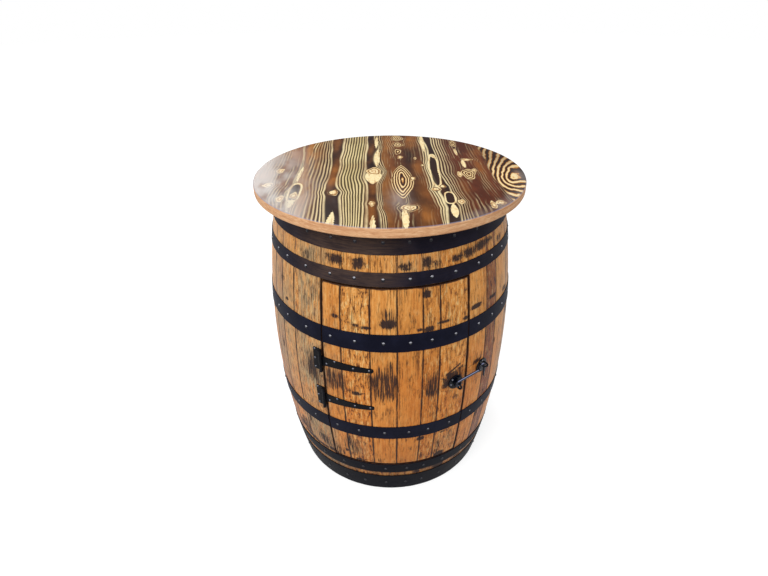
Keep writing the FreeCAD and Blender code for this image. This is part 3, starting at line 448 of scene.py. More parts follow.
# Where torching left an amber glow inside the dark bands: place, half width, half length, strength.
GLOWS = [
    (-149, -10, 10, 95, 1), (-160, 255, 9, 70, 0.5), (-43, -130, 9, 45, 0.6), (-42, -265, 9, 65, 1),
    (-56, 190, 8, 40, 0.5), (18, -20, 16, 60, 0.4), (75, 30, 12, 60, 0.7), (80, -140, 16, 70, 0.6),
    (60, 280, 14, 60, 0.8), (84, -290, 14, 60, 0.7), (180, -120, 14, 90, 0.4), (128, -60, 6, 60, 0.4),
    (245, 20, 12, 110, 0.6), (-290, 120, 24, 120, 0.8), (-8, 250, 10, 90, 0.8), (330, 60, 30, 70, 0.6),
]
# Swirl of open rings on the right: place, lean, spread, and how far the rings stretch away and near.
SWIRL = (320, -55, 0.22, 0.002, 6.0, 2.6)
SWIRL_OPENING = 0.28
SWIRL_PITCH = 11.5
LINE_PITCH = 7.8
# Painted glare: a reflection on the lacquer, painted in as a dusty white. The bank on the left: where it
# starts and is full, and its lean.
GLARE_BANK = (-150, -330, 0.25)
# The painted glare along the rim's edge: from which distance off the middle it starts and is full, and how
# strong it is.
EDGE_GLARE = (316, 347, 0.7)
# A patch of painted glare near the front: place, half width, half length, strength.
FRONT_GLARE = (22, -205, 26, 60, 0.5)


def smooth(value, low, high):
    """Smooth step from 0 at low to 1 at high."""
    share = np.clip((value - low) / (high - low), 0, 1)
    return share * share * (3 - 2 * share)


def parted(x, y, spots):
    """Grain coordinate in which lines part to pass round spots of (x, y, half width, half length)."""
    grain = x.copy()
    for spot_x, spot_y, half_width, half_length in spots:
        share = np.exp(-((y - spot_y) / (1.1 * half_length)) ** 2)
        half = 0.8 * half_width * share
        away = x - spot_x
        reach = np.maximum(np.abs(away) - half, 0)
        push = np.minimum(half, np.abs(away)) * np.exp(-reach / (1.2 * half_width + 4))
        grain -= np.sign(away) * push
    return grain


def grain_scale(x, y):
    """Value of the grain scale at points of the top: each main line keeps its own value all along."""
    fine = np.arange(-380, 381, 4.0)
    window = np.hanning(13)
    edge = np.full(len(fine), -TABLE_RADIUS / MM)
    lines = [(-TABLE_RADIUS / MM, edge)]
    for value, *places in GRAIN_LINES:
        path = np.interp(fine, STATIONS, places)
        padded = np.pad(path, 6, mode="edge")
        lines.append((value, np.convolve(padded, window / window.sum(), mode="valid")))
    lines.append((TABLE_RADIUS / MM, -edge))
    grain = np.full_like(x, lines[0][0])
    for (value, path), (next_value, next_path) in zip(lines, lines[1:]):
        left = np.interp(y, fine, path)
        right = np.maximum(np.interp(y, fine, next_path), left + 1.0)
        grain += np.clip((x - left) / (right - left), 0, 1) * (next_value - value)
    return grain


def swirl_at(x, y):
    """Distance from the middle of the swirl, in its own stretched measure."""
    swirl_x, swirl_y, lean, spread, stretch_away, stretch_near = SWIRL
    beyond = np.maximum(y - swirl_y, 0)
    nearer = np.maximum(swirl_y - y, 0)
    aside = (x - swirl_x - lean * beyond + 0.1 * nearer) / (1 + spread * beyond)
    aside = np.where(aside > 0, SWIRL_OPENING * aside, aside)
    return np.hypot(aside, beyond / stretch_away + nearer / stretch_near)


def painted_glare_at(x, y):
    """Strength of the painted glare: the bank on the left, the band along the rim's edge and the patch near
    the front.
    """
    start, full, lean = GLARE_BANK
    bank = smooth(x + lean * y, start, full)
    inner, outer, edge_weight = EDGE_GLARE
    edge = smooth(np.hypot(x, y), inner, outer) * smooth(np.abs(x), 120, 240) * smooth(y, 60, -60)
    edge = np.where(x > 0, 0.5, 1.0) * edge
    front_glare_x, front_glare_y, half_width, half_length, weight = FRONT_GLARE
    front_glare = np.exp(-((x - front_glare_x) / half_width) ** 2 - ((y - front_glare_y) / half_length) ** 2)
    return np.maximum(bank, np.maximum(edge_weight * edge, weight * front_glare))


def glow_at(x, y):
    """Strength of the amber glow."""
    glow = np.zeros_like(x)
    for glow_x, glow_y, half_width, half_length, weight in GLOWS:
        away = ((x - glow_x) / half_width) ** 2 + ((y - glow_y) / half_length) ** 2
        glow = np.maximum(glow, weight * np.exp(-0.7 * away))
    return glow


def grain_fields(x, y):
    """Fields that the burnt pine's material reads, at points of the top in millimetres."""
    sway = 1.2 * np.sin(y / 47 + x / 60) + 0.4 * np.sin(y / 19 + x / 23 + 1.3)
    bent = x + sway
    grain = grain_scale(parted(bent, y, [knot[:4] for knot in KNOTS[1:]]), y)
    rings, ring_share, eye, dark = [np.zeros_like(x) for _ in range(4)]
    for nest_x, nest_y, half_width, half_length, count in NESTS:
        inside = np.hypot((bent - nest_x) / half_width, 0.12) + ((y - nest_y) / half_length) ** 2
        rings = np.where(inside < 1.1, inside * count, rings)
        ring_share = np.maximum(ring_share, smooth(inside, 1.08, 0.98))
    for loop_x, loop_y, half_width, half_length in DARK_LOOPS:
        inside = np.hypot((bent - loop_x) / half_width, ((y - loop_y) / half_length) ** 2)
        dark = np.maximum(dark, smooth(inside, 1.0, 0.85))
        eye = np.maximum(eye, smooth(inside, 1.42, 1.25) * smooth(inside, 0.9, 1.05))
    for tongue_x, tongue_y, half_width, half_length in CREAM_TONGUES:
        inside = np.abs(bent - tongue_x) / half_width + ((y - tongue_y) / half_length) ** 2
        eye = np.maximum(eye, smooth(inside, 1.0, 0.7))
    for knot_x, knot_y, half_width, half_length, count, paleness in KNOTS:
        turn = np.arctan2((y - knot_y) / half_length, (x - knot_x) / half_width)
        ragged = 1 + 0.10 * np.sin(turn * 3 + knot_x) + 0.06 * np.sin(turn * 5 + knot_y)
        inside = np.hypot((bent - knot_x) / half_width, (y - knot_y) / half_length) * ragged
        rings = np.where(inside < 1.15, inside * count, rings)
        ring_share = np.maximum(ring_share, smooth(inside, 1.12, 0.95))
        eye = np.maximum(eye * smooth(inside, 0.95, 1.1), paleness * smooth(inside, 1.0, 0.5))
        dark = dark * smooth(inside, 0.9, 1.15)
    edge = smooth(grain, 262, 272)
    return {
        "grain": grain,
        "rings": np.where(edge > 0.02, swirl_at(x, y) / SWIRL_PITCH, rings),
        "ring_share": np.maximum(ring_share * (1 - edge), edge),
        "eye": eye,
        "dark": dark,
        "burnt": smooth(y, -20, 120) * edge,
        "painted_glare": painted_glare_at(x, y),
        "glow": glow_at(bent, y),
    }


def ramp_stops(entries, colour=lambda value: value):
    """Stops of a colour ramp over the table top's width."""
    low, high = -TABLE_RADIUS / MM, TABLE_RADIUS / MM
    return [((place - low) / (high - low), colour(value)) for place, value in entries]


def burnt_bands(g, grain, fine, clouds, patchy):
    """Colour of the broad bands with the fine pale and sooty lines over them, and those lines."""
    half = TABLE_RADIUS / MM
    share = (grain + half) / (2 * half)
    streaky = g.grain(g.place(), (60, 5, 5), 3.0, 0.6)
    colour = g.ramp(share, ramp_stops(GRAIN_TONES))
    strength = g.ramp(share, ramp_stops(LINE_STRENGTHS, lambda value: (value, value, value, 1.0)))
    glow = g.attribute("glow") + g.step(patchy, 0.50, 0.66, 0.0, 0.35)
    colour = g.mix(g.math("MINIMUM", glow * 0.8, 0.85), colour, GLOW)
    colour = g.mix(g.step(clouds, 0.42, 0.62, 0.0, 0.45), colour, SOOT_VEIL, "MULTIPLY")

    across = g.add("CombineXYZ", {0: grain, 1: g.part(g.place(), 1) * 8.0})
    uneven = (g.noise(across, 0.07, 2.0) - 0.5) * 3.0
    wave = g.math("SINE", (grain + uneven) * (2 * math.pi / LINE_PITCH))
    lines = g.step(wave + (fine - 0.5) * 0.8, -0.35, 0.75)
    shown = strength * g.math("MAXIMUM", g.step(strength, 0.7, 1.0), g.step(streaky, 0.44, 0.60)) * 0.85
    colour = g.mix((1.0 - lines) * shown, colour, UMBER)
    faded = g.step(patchy, 0.34, 0.60, 1.0, 0.55)
    light = lines * faded * shown * g.step(grain, 150, 210, 1.0, 0.5)
    return g.mix(light, colour, PALE_LINE), lines


def burnt_knots(g, colour, clouds):
    """Lays the rings of knots and swirl, the dark loops and the cream tongues over the bands."""
    blots = g.noise(g.place(), 110.0, 3.0, 0.6)
    streaks = g.grain(g.place(), (150, 14, 14), 3.0, 0.6)
    ring_share = g.attribute("ring_share")
    ring_phase = g.attribute("rings") + (clouds - 0.5) * 2.0
    ring_wave = g.math("SINE", ring_phase * (2 * math.pi))
    ring_colour = g.ramp(g.step(ring_wave, -1.0, 1.0), RING_TONES)
    ring_colour = g.mix(g.attribute("burnt") * 0.55, ring_colour, SOOT_VEIL, "MULTIPLY")
    colour = g.mix(ring_share, colour, ring_colour)
    colour = g.mix(g.attribute("dark") * 0.95, colour, UMBER)
    cream = g.mix(g.step(ring_wave, -0.2, -0.9, 0.0, 0.8) * ring_share, CREAM, GLOW)
    cream = g.mix(g.step(blots, 0.48, 0.66, 0.0, 0.45), cream, GOLD)
    cream = g.mix(g.step(streaks, 0.50, 0.64, 0.0, 0.6), cream, AMBER)
    blotted = g.step(g.attribute("eye") + (blots - 0.5) * 0.4, 0.30, 0.62)
    return g.mix(blotted, colour, cream)


def burnt_pine():
    """Torched and brushed pine under lacquer, with a pale sanded rim."""
    g = Graph("burnt_pine", coat_weight=0.13, coat_roughness=0.2, coat_ior=1.5, specular_ior_level=0.0)
    place = g.place()
    wobble = g.grain(place, (18, 4, 4), 3.0, 0.55)
    fine = g.grain(place, (700, 24, 24), 3.0)
    clouds = g.grain(place, (17, 8, 8), 4.0, 0.6)
    patchy = g.grain(place, (13, 5, 5), 3.0, 0.6)
    end_grain = g.grain(place, (60, 60, 420), 4.0, 0.6, 0.8)
    along = g.grain(place, (12, 12, 160), 3.0)
    rim = g.attribute("rim")

    grain = g.attribute("grain") + (wobble - 0.5) * 3.0
    colour, lines = burnt_bands(g, grain, fine, clouds, patchy)
    colour = burnt_knots(g, colour, clouds)
    colour = g.mix(g.step(fine, 0.35, 0.7, 0.0, 0.14), colour, UMBER)
    # Painted glare: a reflection on the lacquer, painted in as a dusty white.
    colour = g.mix(g.attribute("painted_glare") * g.step(patchy, 0.34, 0.58, 0.14, 0.72), colour, PAINTED_GLARE_WHITE)
    # Painted highlight along the rim's rounded top edge, in blue-grey.
    colour = g.mix(g.attribute("arris") * 0.4, colour, ARRIS_HIGHLIGHT)
    rim_colour = g.mix(g.step(along, 0.48, 0.66, 0.0, 0.5), g.ramp(end_grain, RIM_TONES), RIM_STAIN)
    colour = g.mix(rim, colour, rim_colour)
    height = lines * 0.25 + fine * 0.15
    g.set(base_color=colour, roughness=g.step(rim, 0.0, 1.0, 0.42, 0.58), normal=g.bump(height, 0.0002))
    return g.material


# ---- metals -----------------------------------------------------------------------------------------
HOOP_PAINT = srgb(14, 15, 29)
HOOP_WORN = srgb(29, 31, 49)
HOOP_UPPER_BROWN = srgb(78, 62, 54)
FOOT_BLACK = srgb(4, 4, 9)
NAIL_BLACK = srgb(16, 16, 24)
NAIL_DIM = srgb(26, 25, 33)
HOOK_BLACK = srgb(10, 13, 30)
HOOK_HIGHLIGHT = srgb(128, 136, 170)
# The direction that the hook's painted highlight faces, and how far outwards and upwards the nails' painted
# highlight faces.
HOOK_HIGHLIGHT_DIRECTION = (0.26, -0.42, 0.87)
HIGHLIGHT_OUT = 0.45
HIGHLIGHT_UP = 0.89
# X of the middle of the brown tint on the upper hoops.
UPPER_BROWN_MIDDLE = -0.11


def painted_steel(name, paint, worn, roughness, wear_scale, shine, relief=0.0009, upper_brown=None):
    """Black paint on steel: brushed marks, rubbed patches and a brown tint up high; the foot stays dark."""
    g = Graph(name, specular_ior_level=shine)
    place = g.place()
    clouds = g.noise(place, wear_scale, 5.0, 0.6)
    grit = g.noise(place, 900.0, 3.0, 0.6)
    brushed = g.grain(place, (30, 30, 500), 3.0)
    colour = g.mix(g.step(clouds, 0.35, 0.75, 0.0, 0.6), paint, worn)
    colour = g.mix(g.step(g.part(place, 2), 0.30, 0.08) * 0.8, colour, FOOT_BLACK)
    if upper_brown:
        away = g.math("ABSOLUTE", g.part(place, 0) - UPPER_BROWN_MIDDLE)
        upper_share = g.step(g.part(place, 2), 0.66, 0.80) * g.step(away, 0.17, 0.05, 0.12, 1.0)
        streaked = g.step(brushed * 1.2 + clouds * 0.6, 0.6, 1.2, 0.35, 1.0)
        colour = g.mix(upper_share * streaked, colour, upper_brown)
    roughness = clouds * 0.16 + brushed * 0.08 + roughness
    height = clouds + grit * 0.12 + brushed * 0.10
    g.set(base_color=colour, roughness=roughness, normal=g.bump(height, relief))
    return g.material


def steel_with_painted_highlight(name, shine, low_dim=0.75):
    """Nail and screw heads: black, with a painted highlight on the side of each dome that faces up and
    outwards; dimmer near the foot and at the top.
    """
    g = Graph(name, metallic=0.2, specular_ior_level=0.2)
    place = g.place()
    height = g.part(place, 2)
    spots = g.noise(place, 160.0, 3.0)
    grit = g.noise(place, 1400.0, 2.0)
    outward = g.stretch(place, HIGHLIGHT_OUT / BELLY_RADIUS, HIGHLIGHT_OUT / BELLY_RADIUS, 0.0)
    up_and_out = g.add("VectorMath", {0: outward, 1: (0.0, 0.0, HIGHLIGHT_UP)}, operation="ADD")
    # Painted highlight: the side of each head that faces up and outwards is painted lighter.
    worn = g.facing(up_and_out, 0.30, 1.0) + (spots - 0.5) * 0.9
    colour = g.mix(g.step(worn, 0.35, 0.85), NAIL_BLACK, shine)
    # The heads are dimmer near the foot and at the top.
    low = g.step(height, 0.42, 0.16, 0.0, low_dim)
    high = g.step(height, 0.82, 0.86, 0.0, low_dim)
    colour = g.mix(g.math("MAXIMUM", low, high), colour, NAIL_DIM)
    g.set(base_color=colour, roughness=grit * 0.3 + 0.25, normal=g.bump(spots + grit, 0.0003))
    return g.material


def hook_iron():
    """Black iron with a painted highlight along its upper side."""
    g = Graph("hook_iron", specular_ior_level=0.25)
    place = g.place()
    clouds = g.noise(place, 90.0, 4.0, 0.6)
    grit = g.noise(place, 900.0, 3.0, 0.6)
    # Painted highlight on the side of the rod that faces up and out.
    highlit = g.facing(HOOK_HIGHLIGHT_DIRECTION, 0.86, 1.0) + (clouds - 0.5) * 0.4
    colour = g.mix(g.step(highlit, 0.3, 0.95), HOOK_BLACK, HOOK_HIGHLIGHT)
    g.set(base_color=colour, roughness=clouds * 0.2 + 0.12, normal=g.bump(clouds + grit * 0.2, 0.0003))
    return g.material


def zinc():
    """Zinc-plated screws of the inside."""
    g = Graph("zinc_screw", metallic=0.9, specular_ior_level=0.5)
    spots = g.noise(g.place(), 240.0, 3.0)
    colour = g.mix(g.step(spots, 0.4, 0.7), srgb(176, 174, 166), srgb(126, 122, 112))
    g.set(base_color=colour, roughness=spots * 0.3 + 0.25, normal=g.bump(spots, 0.0002))
    return g.material


# ---- meshes -----------------------------------------------------------------------------------------
def new_piece(name, points, faces, material, sharp=40.0):
    mesh = bpy.data.meshes.new(name)
    mesh.from_pydata(points.tolist(), [], faces)
    mesh.shade_smooth()
    mesh.set_sharp_from_angle(angle=math.radians(sharp))
    mesh.materials.append(material)
    piece = bpy.data.objects.new(name, mesh)
    bpy.context.scene.collection.objects.link(piece)
    return piece


def add_field(piece, name, values):
    layer = piece.data.attributes.new(name, "FLOAT", "POINT")
    layer.data.foreach_set("value", np.ascontiguousarray(values, dtype=np.float32).ravel())


def add_vectors(piece, name, vectors):
    layer = piece.data.attributes.new(name, "FLOAT_VECTOR", "POINT")
    layer.data.foreach_set("vector", np.ascontiguousarray(vectors, dtype=np.float32).ravel())


def tube_faces(rows, columns, closed_rows=False):
    """Quads of a tube: each row is a ring of points."""
    faces = []
    for row in range(rows if closed_rows else rows - 1):
        first = row * columns
        second = ((row + 1) % rows) * columns
        for column in range(columns):
            after = (column + 1) % columns
            faces.append((first + column, first + after, second + after, second + column))
    return faces


def radius_at(offset, height):
    """Radius at a height of the surface that lies at this offset outside the staves."""
    return BELLY_RADIUS - ARC_RADIUS + np.sqrt((ARC_RADIUS + offset) ** 2 - (height - MIDDLE) ** 2)


def on_axis(angle, radius, height):
    """Points at these angles, radii and heights about the barrel's axis."""
    return np.stack([radius * np.sin(angle), -radius * np.cos(angle), height], axis=-1)


# ---- staves -----------------------------------------------------------------------------------------
# Scorched patches: angle in degrees, height, half width in degrees, half height (millimetres), strength.
BURNS = [
    (-25.5, 808, 3, 12, 1), (-15.5, 806, 3, 13, 1), (-30, 812, 1.5, 8, 0.6), (3.5, 800, 2.6, 7, 0.9),
    (13, 808, 2, 13, 0.9), (17, 800, 2.5, 8, 0.6), (27, 803, 3, 9, 0.9), (33.5, 806, 4, 12, 0.8),
    (40, 812, 4, 12, 0.9), (46.5, 815, 3.5, 9, 0.8), (-42, 800, 5, 18, 0.35), (56, 800, 3, 10, 0.6),
    (12.5, 728, 1.8, 9, 1.1), (-3.5, 655, 3.2, 11, 1.1), (-26, 662, 1.8, 6, 0.8),
    (-12.5, 643, 2.2, 5, 0.9), (-17, 646, 1.5, 5, 0.6), (9.5, 635, 1.2, 5, 0.8), (13.5, 633, 2.2, 8, 1),
    (20, 645, 3, 4, 1), (31, 636, 1.8, 6, 0.9), (37, 656, 3.2, 7, 1.1), (48.5, 655, 3, 5, 1),
    (-54.5, 648, 1.2, 5, 0.8), (31, 715, 2, 5, 0.5), (-58, 700, 2, 9, 0.5), (-17.5, 433, 2.4, 7, 0.7),
    (-20.5, 440, 1, 6, 0.6), (24, 470, 2.4, 12, 0.7), (22, 445, 1.8, 14, 0.8), (29.5, 486, 3, 5, 0.5),
    (28, 385, 1.6, 10, 0.5), (39, 478, 3, 8, 0.8), (-23, 236, 1.2, 26, 0.7), (-25, 182, 1.5, 8, 0.6),
    (11.5, 255, 1.8, 9, 1), (23, 258, 2, 5, 0.6), (22.5, 152, 2.6, 15, 1.2), (20.5, 172, 1.4, 14, 0.6),
    (45, 250, 1.6, 16, 0.6), (-42, 150, 6, 7, 0.8), (-30, 150, 2, 6, 0.6), (24, 88, 3, 14, 1.2),
    (11.5, 88, 2, 9, 0.8), (37, 88, 3, 8, 0.8), (-12, 80, 4, 5, 0.6), (3, 80, 4, 5, 0.6),
    (-40, 152, 3, 6, 0.8), (52, 500, 1.6, 14, 0.5), (47, 330, 1.5, 18, 0.5), (-62, 480, 2, 24, 0.5),
    (62, 640, 3, 9, 0.7), (-50, 158, 6, 8, 0.9), (-56, 186, 2.4, 16, 0.8), (-34, 155, 3, 8, 0.8),
    (-18, 152, 3, 6, 0.7),
]
# Patches with dense dark scratches along the grain, in the same terms.
SCRATCHED = [
    (-5, 470, 6, 50, 1), (-3, 520, 3, 26, 0.7), (-3.5, 668, 3.4, 28, 0.8), (-27, 462, 5, 36, 0.9),
    (15.5, 448, 3.2, 38, 1), (16.5, 480, 2.2, 20, 0.7), (-38.5, 480, 3.6, 46, 1), (-36, 455, 2, 34, 0.9),
    (26, 458, 5.2, 28, 1), (0, 500, 1.4, 30, 0.5), (-44, 470, 3, 30, 0.5), (12.5, 735, 1.4, 12, 0.6),
    (-19.5, 640, 2.6, 50, 0.35), (-24, 215, 2.6, 40, 0.55), (-41, 230, 5, 26, 0.45),
    (22, 205, 1.6, 26, 0.5), (-36.5, 715, 3, 26, 0.45), (-40, 800, 6, 16, 0.5), (5, 430, 1.6, 26, 0.3),
    (42, 560, 1.6, 40, 0.35), (-52, 195, 5, 36, 0.8), (-38, 188, 4.5, 26, 0.8), (-46, 250, 2.2, 30, 0.6),
    (-20.5, 205, 3.4, 40, 0.7), (-29, 172, 2.4, 22, 0.7), (-57, 330, 3, 44, 0.5), (-8, 160, 2, 14, 0.5),
    (31, 170, 3, 18, 0.5),
]
# Patches weathered to grey, in the same terms.
WEATHERED = [
    (-40, 480, 9, 130, 1), (-40, 230, 10, 80, 1), (-60, 560, 13, 220, 0.7), (-40, 700, 7, 80, 0.9),
    (66, 500, 10, 260, 0.35), (-35, 90, 9, 14, 1), (40, 90, 9, 12, 0.5), (-38, 805, 8, 26, 0.9),
    (8, 805, 10, 20, 0.35), (-20, 215, 6, 40, 0.5), (24, 215, 5, 40, 0.3), (-27, 500, 4, 60, 0.35),
]
# Short splits across the grain: angle and height of both ends, half width in millimetres, strength.
SPLITS = [
    (22, 478, 28.8, 500, 2.4, 0.9), (24.5, 474, 30.6, 494, 2, 0.6), (19.5, 470, 23, 455, 2.4, 0.8),
    (20, 425, 26, 412, 2.2, 0.5), (-18.5, 428, -14, 436, 2.4, 0.8), (-21.5, 655, -16, 646, 2, 0.6),
    (33.5, 470, 37, 478, 2.2, 0.5), (-35.5, 660, -33.5, 705, 2.4, 0.4), (-20, 245, -14, 236, 2.2, 0.5),
]
STRAY_BURNS = 46
# Number of the first door stave: a stave above or below the door shares its grain with the one between.
FIRST_DOOR_NUMBER = 31
# Staves of a tone of their own: seam angles in degrees, lightness, shares of dark brown and of flecks.
STAVE_TONES = [
    (-75, -67, 0, 0, 0.2), (-67, -58.5, -0.04, 0.4, 0.5), (-58.5, -48.7, 0.08, 0, 0.5),
    (-48.7, -32.5, 0.05, 0, 0.9), (-32.5, -23.5, 0.04, 0, 0.3), (-23.5, -11, 0.02, 0, 1),
    (-11, 0.3, 0.05, 0, 0.15), (0.3, 11, 0.02, 0.05, 0.1), (11, 18.5, 0, 0.1, 0.6),
    (18.5, 32.5, 0.03, 0, 0.8), (32.5, 44, 0.04, 0, 0.3), (44, 52, -0.1, 0.75, 1), (52, 67, 0.09, 0, 0.1),
]


def patches(entries, angles, heights):
    """Strength at each point of the strongest of these patches."""
    strength = np.zeros_like(angles)
    for angle, height, half_angle, half_height, weight in entries:
        turn = (angles - math.radians(angle) + math.pi) % (2 * math.pi) - math.pi
        across = turn / math.radians(half_angle)
        along = (heights - height * MM) / (half_height * MM)
        away = np.cbrt(np.abs(across) ** 3 + np.abs(along) ** 3)
        strength = np.maximum(strength, weight * smooth(away, 1.6, 0.4))
    return strength


def splits(angles, heights):
    """Strength at each point of the strongest of the short splits."""
    strength = np.zeros_like(angles)
    around = (angles + math.pi) % (2 * math.pi) - math.pi
    for first, low, last, high, half_width, weight in SPLITS:
        run = math.radians(last - first) * BELLY_RADIUS
        rise = (high - low) * MM
        across = (around - math.radians(first)) * BELLY_RADIUS
        along = heights - low * MM
        share = np.clip((across * run + along * rise) / (run ** 2 + rise ** 2), 0, 1)
        away = np.hypot(across - share * run, along - share * rise) / (half_width * MM)
        strength = np.maximum(strength, weight * smooth(away, 1.8, 0.4))
    return strength


def stray_burns():
    """Scorched patches on the sides and back, where the photograph shows nothing."""
    random = np.random.default_rng(7)
    ranges = [(66, 294), (90, 820), (1.2, 4), (4, 18), (0.5, 1)]
    return [tuple(random.uniform(low, high) for low, high in ranges) for _ in range(STRAY_BURNS)]


def tone_of(middle, number):
    """Lightness and shares of dark brown and of flecks of the stave at this angle."""
    degrees = (math.degrees(middle) + 180) % 360 - 180
    for first, last, *tones in STAVE_TONES:
        if first < degrees < last:
            return tones
    random = np.random.default_rng(number)
    return random.uniform(-0.07, 0.10), random.choice([0.0, 0.1, 0.4]), random.uniform(0.1, 0.8)


GRIME_SHARE = 0.55
GRIME_REACH = 0.004
HOOP_EDGES = [edge.z for name in CLOSED_HOOPS + SAWN_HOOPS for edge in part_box(name)]
ALL_BURNS = BURNS + stray_burns()


def grime_at(heights):
    """Dirt along the hoops' edges and towards the foot."""
    near = np.min([np.abs(heights - edge) for edge in HOOP_EDGES], axis=0)
    return GRIME_SHARE * (np.exp(-near / GRIME_REACH) + smooth(heights, 0.30, 0.02))


def span_of(name):
    """Angles of a stave's two seams."""
    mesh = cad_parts[name].data
    points = np.array([vertex.co[:2] for vertex in mesh.vertices])
    centre = points.mean(axis=0)
    middle = math.atan2(centre[0], -centre[1])
    turns = np.arctan2(points[:, 0], -points[:, 1]) - middle
    turns = (turns + math.pi) % (2 * math.pi) - math.pi
    return middle + turns.min(), middle + turns.max()


def inner_radius(heights):
    """Radius of a stave's inner side: the curved face, and at both barrel ends its bevel and its croze."""
    from_end = np.minimum(heights, BARREL_HEIGHT - heights)
    bevel = CHIME_BEVEL_DEPTH * np.clip(1 - from_end / CHIME_BEVEL_HEIGHT, 0, 1)
    croze = CROZE_DEPTH * ((from_end > CROZE_BOTTOM) & (from_end < CROZE_TOP))
    return radius_at(-STAVE_THICKNESS, heights) + bevel + croze


def end_rows(height, towards):
    """Rows that round a stave's end: (height, drop of the outer face)."""
    turns = np.radians([90, 60, 30, 0])
    return [(height + towards * ARRIS * (1 - math.sin(t)), ARRIS * (1 - math.cos(t))) for t in turns]


def croze_rows(end):
    """Rows at both sides of each croze edge and at the bevel, for the barrel end at this height."""
    edges = [CROZE_BOTTOM - SLIVER, CROZE_BOTTOM + SLIVER, CROZE_TOP - SLIVER, CROZE_TOP + SLIVER]
    return [(abs(end - edge), 0.0) for edge in edges + [CHIME_BEVEL_HEIGHT]]


def stave_rows(bottom, top, pitch):
    """Heights of a stave's rows, and how far the outer face drops at each."""
    rows = end_rows(bottom, 1) + end_rows(top, -1)
    steps = max(2, round((top - bottom) / pitch))
    rows += [(height, 0.0) for height in np.linspace(bottom + 2 * ARRIS, top - 2 * ARRIS, steps)]
    if bottom < ARRIS:
        rows += croze_rows(0.0)
    if top > BARREL_HEIGHT - ARRIS:
        rows += croze_rows(BARREL_HEIGHT)
    return np.hsplit(np.array(sorted(rows)), 2)


def stave_section(count):
    """Section of a stave: shares of its width, steps sideways and inwards at arrises, outer side or not."""
    half = math.sqrt(0.5)
    across = np.linspace(0, 1, count)
    flat = np.zeros(count)
    round_out = np.array([half, 1, 1, half])
    round_in = np.array([1 - half, 1, 1, 1 - half])
    share = np.concatenate([across, [1, 1, 1, 1], across[::-1], [0, 0, 0, 0]])
    sideways = np.concatenate([flat, round_out, flat, -round_out])
    sunk = np.concatenate([flat, round_in, flat, round_in])
    outer_side = np.concatenate([np.ones(count + 2), np.zeros(count + 4), np.ones(2)])
    return share, sideways, sunk, outer_side


def stave_faces(rows, columns, count):
    """Faces of a stave: its four sides and its two ends."""
    faces = tube_faces(rows, columns)
    for row, flip in ((0, 1), (rows - 1, -1)):
        cap = list(range(row * columns, (row + 1) * columns))
        for left in range(count - 1):
            opposite = 2 * count + 3 - left
            faces.append(tuple([cap[left], cap[opposite], cap[opposite - 1], cap[left + 1]][::flip]))
        faces.append(tuple(cap[count - 1:count + 5][::-flip]))
        faces.append(tuple((cap[2 * count + 3:] + cap[:1])[::-flip]))
    return faces


def mark_stave(piece, angles, heights, shown):
    """Burns, scratches, dirt and weathering of a stave, where it shows."""
    burnt = np.maximum(patches(ALL_BURNS, angles, heights), splits(angles, heights))
    marks = [burnt, patches(SCRATCHED, angles, heights), grime_at(heights)]
    add_vectors(piece, "marks", np.stack([mark * shown for mark in marks], axis=-1))
    add_field(piece, "weather", patches(WEATHERED, angles, heights) * shown)


def stave(name, span, bottom, top, number):
    """Stave with softened arrises; its fields carry the grain, the marks and the distance to its seams."""
    middle = sum(span) / 2
    front = abs((middle + math.pi) % (2 * math.pi) - math.pi) < FRONT_REACH
    pitch = FRONT_PITCH if front else BACK_PITCH
    heights, drops = stave_rows(bottom, top, pitch)
    belly_width = (span[1] - span[0]) * BELLY_RADIUS
    count = max(6, round(belly_width / pitch))
    share, sideways, sunk, outer_side = stave_section(count)

    outer = radius_at(0, heights)
    width = (span[1] - span[0]) * outer
    along = ARRIS + share * (width - 2 * ARRIS) + sideways * ARRIS
    phase = number * 1.7
    ripple = np.sin(heights * 19 + phase + share * 3) * np.cos(heights * 7 + 2 * phase)
    hollow = HOLLOW_DEPTH * (1 + ripple)
    outer_radius = outer - drops - sunk * ARRIS - hollow * np.sin(share * math.pi)
    radius = np.where(outer_side > 0, outer_radius, inner_radius(heights) + sunk * ARRIS)
    angles = span[0] + along / outer
    full_heights = heights + 0 * angles
    points = on_axis(angles, radius, full_heights).reshape(-1, 3)
    piece = new_piece(name, points, stave_faces(len(heights), len(share), count), BARREL_WOOD)

    from_seam = np.minimum(along, width - along)
    from_end = np.minimum(full_heights - bottom, top - full_heights)
    inset = np.maximum(np.minimum(from_seam, from_end), 0)
    depth = outer - radius
    inside = np.clip(depth / (0.4 * STAVE_THICKNESS), 0, 1)
    across_grain = (share - 0.5) * belly_width + number * GRAIN_SHIFT_ACROSS + 0 * heights
    along_grain = full_heights + number * GRAIN_SHIFT_ALONG
    add_vectors(piece, "lay", np.stack([across_grain, depth, along_grain], axis=-1))
    mark_stave(piece, angles, full_heights, 1 - inside)
    on_side = (np.abs(sideways) == 1) & (outer_side == 0)
    add_field(piece, "seam", np.where(on_side, CLEAN_SIDE, inset))
    add_field(piece, "inside", inside)
    lightness, umber, mottled = tone_of(middle, number)
    for field, value in (("tone", 0.5 + lightness), ("umber", umber), ("mottled", mottled)):
        add_field(piece, field, np.full_like(angles, value))
    return piece


def join(pieces, name):
    """One object from several meshes, with their fields."""
    bpy.ops.object.select_all(action="DESELECT")
    for piece in pieces:
        piece.select_set(True)
    bpy.context.view_layer.objects.active = pieces[0]
    bpy.ops.object.join()
    pieces[0].name = name
    pieces[0].data.name = name
    pieces[0].select_set(False)
    return pieces[0]


def dress(piece, body, slot, *nodes):
    """Puts a piece on its body in place of CAD nodes; the slot argument is not used."""
    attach(piece, body)
    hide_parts(*nodes)


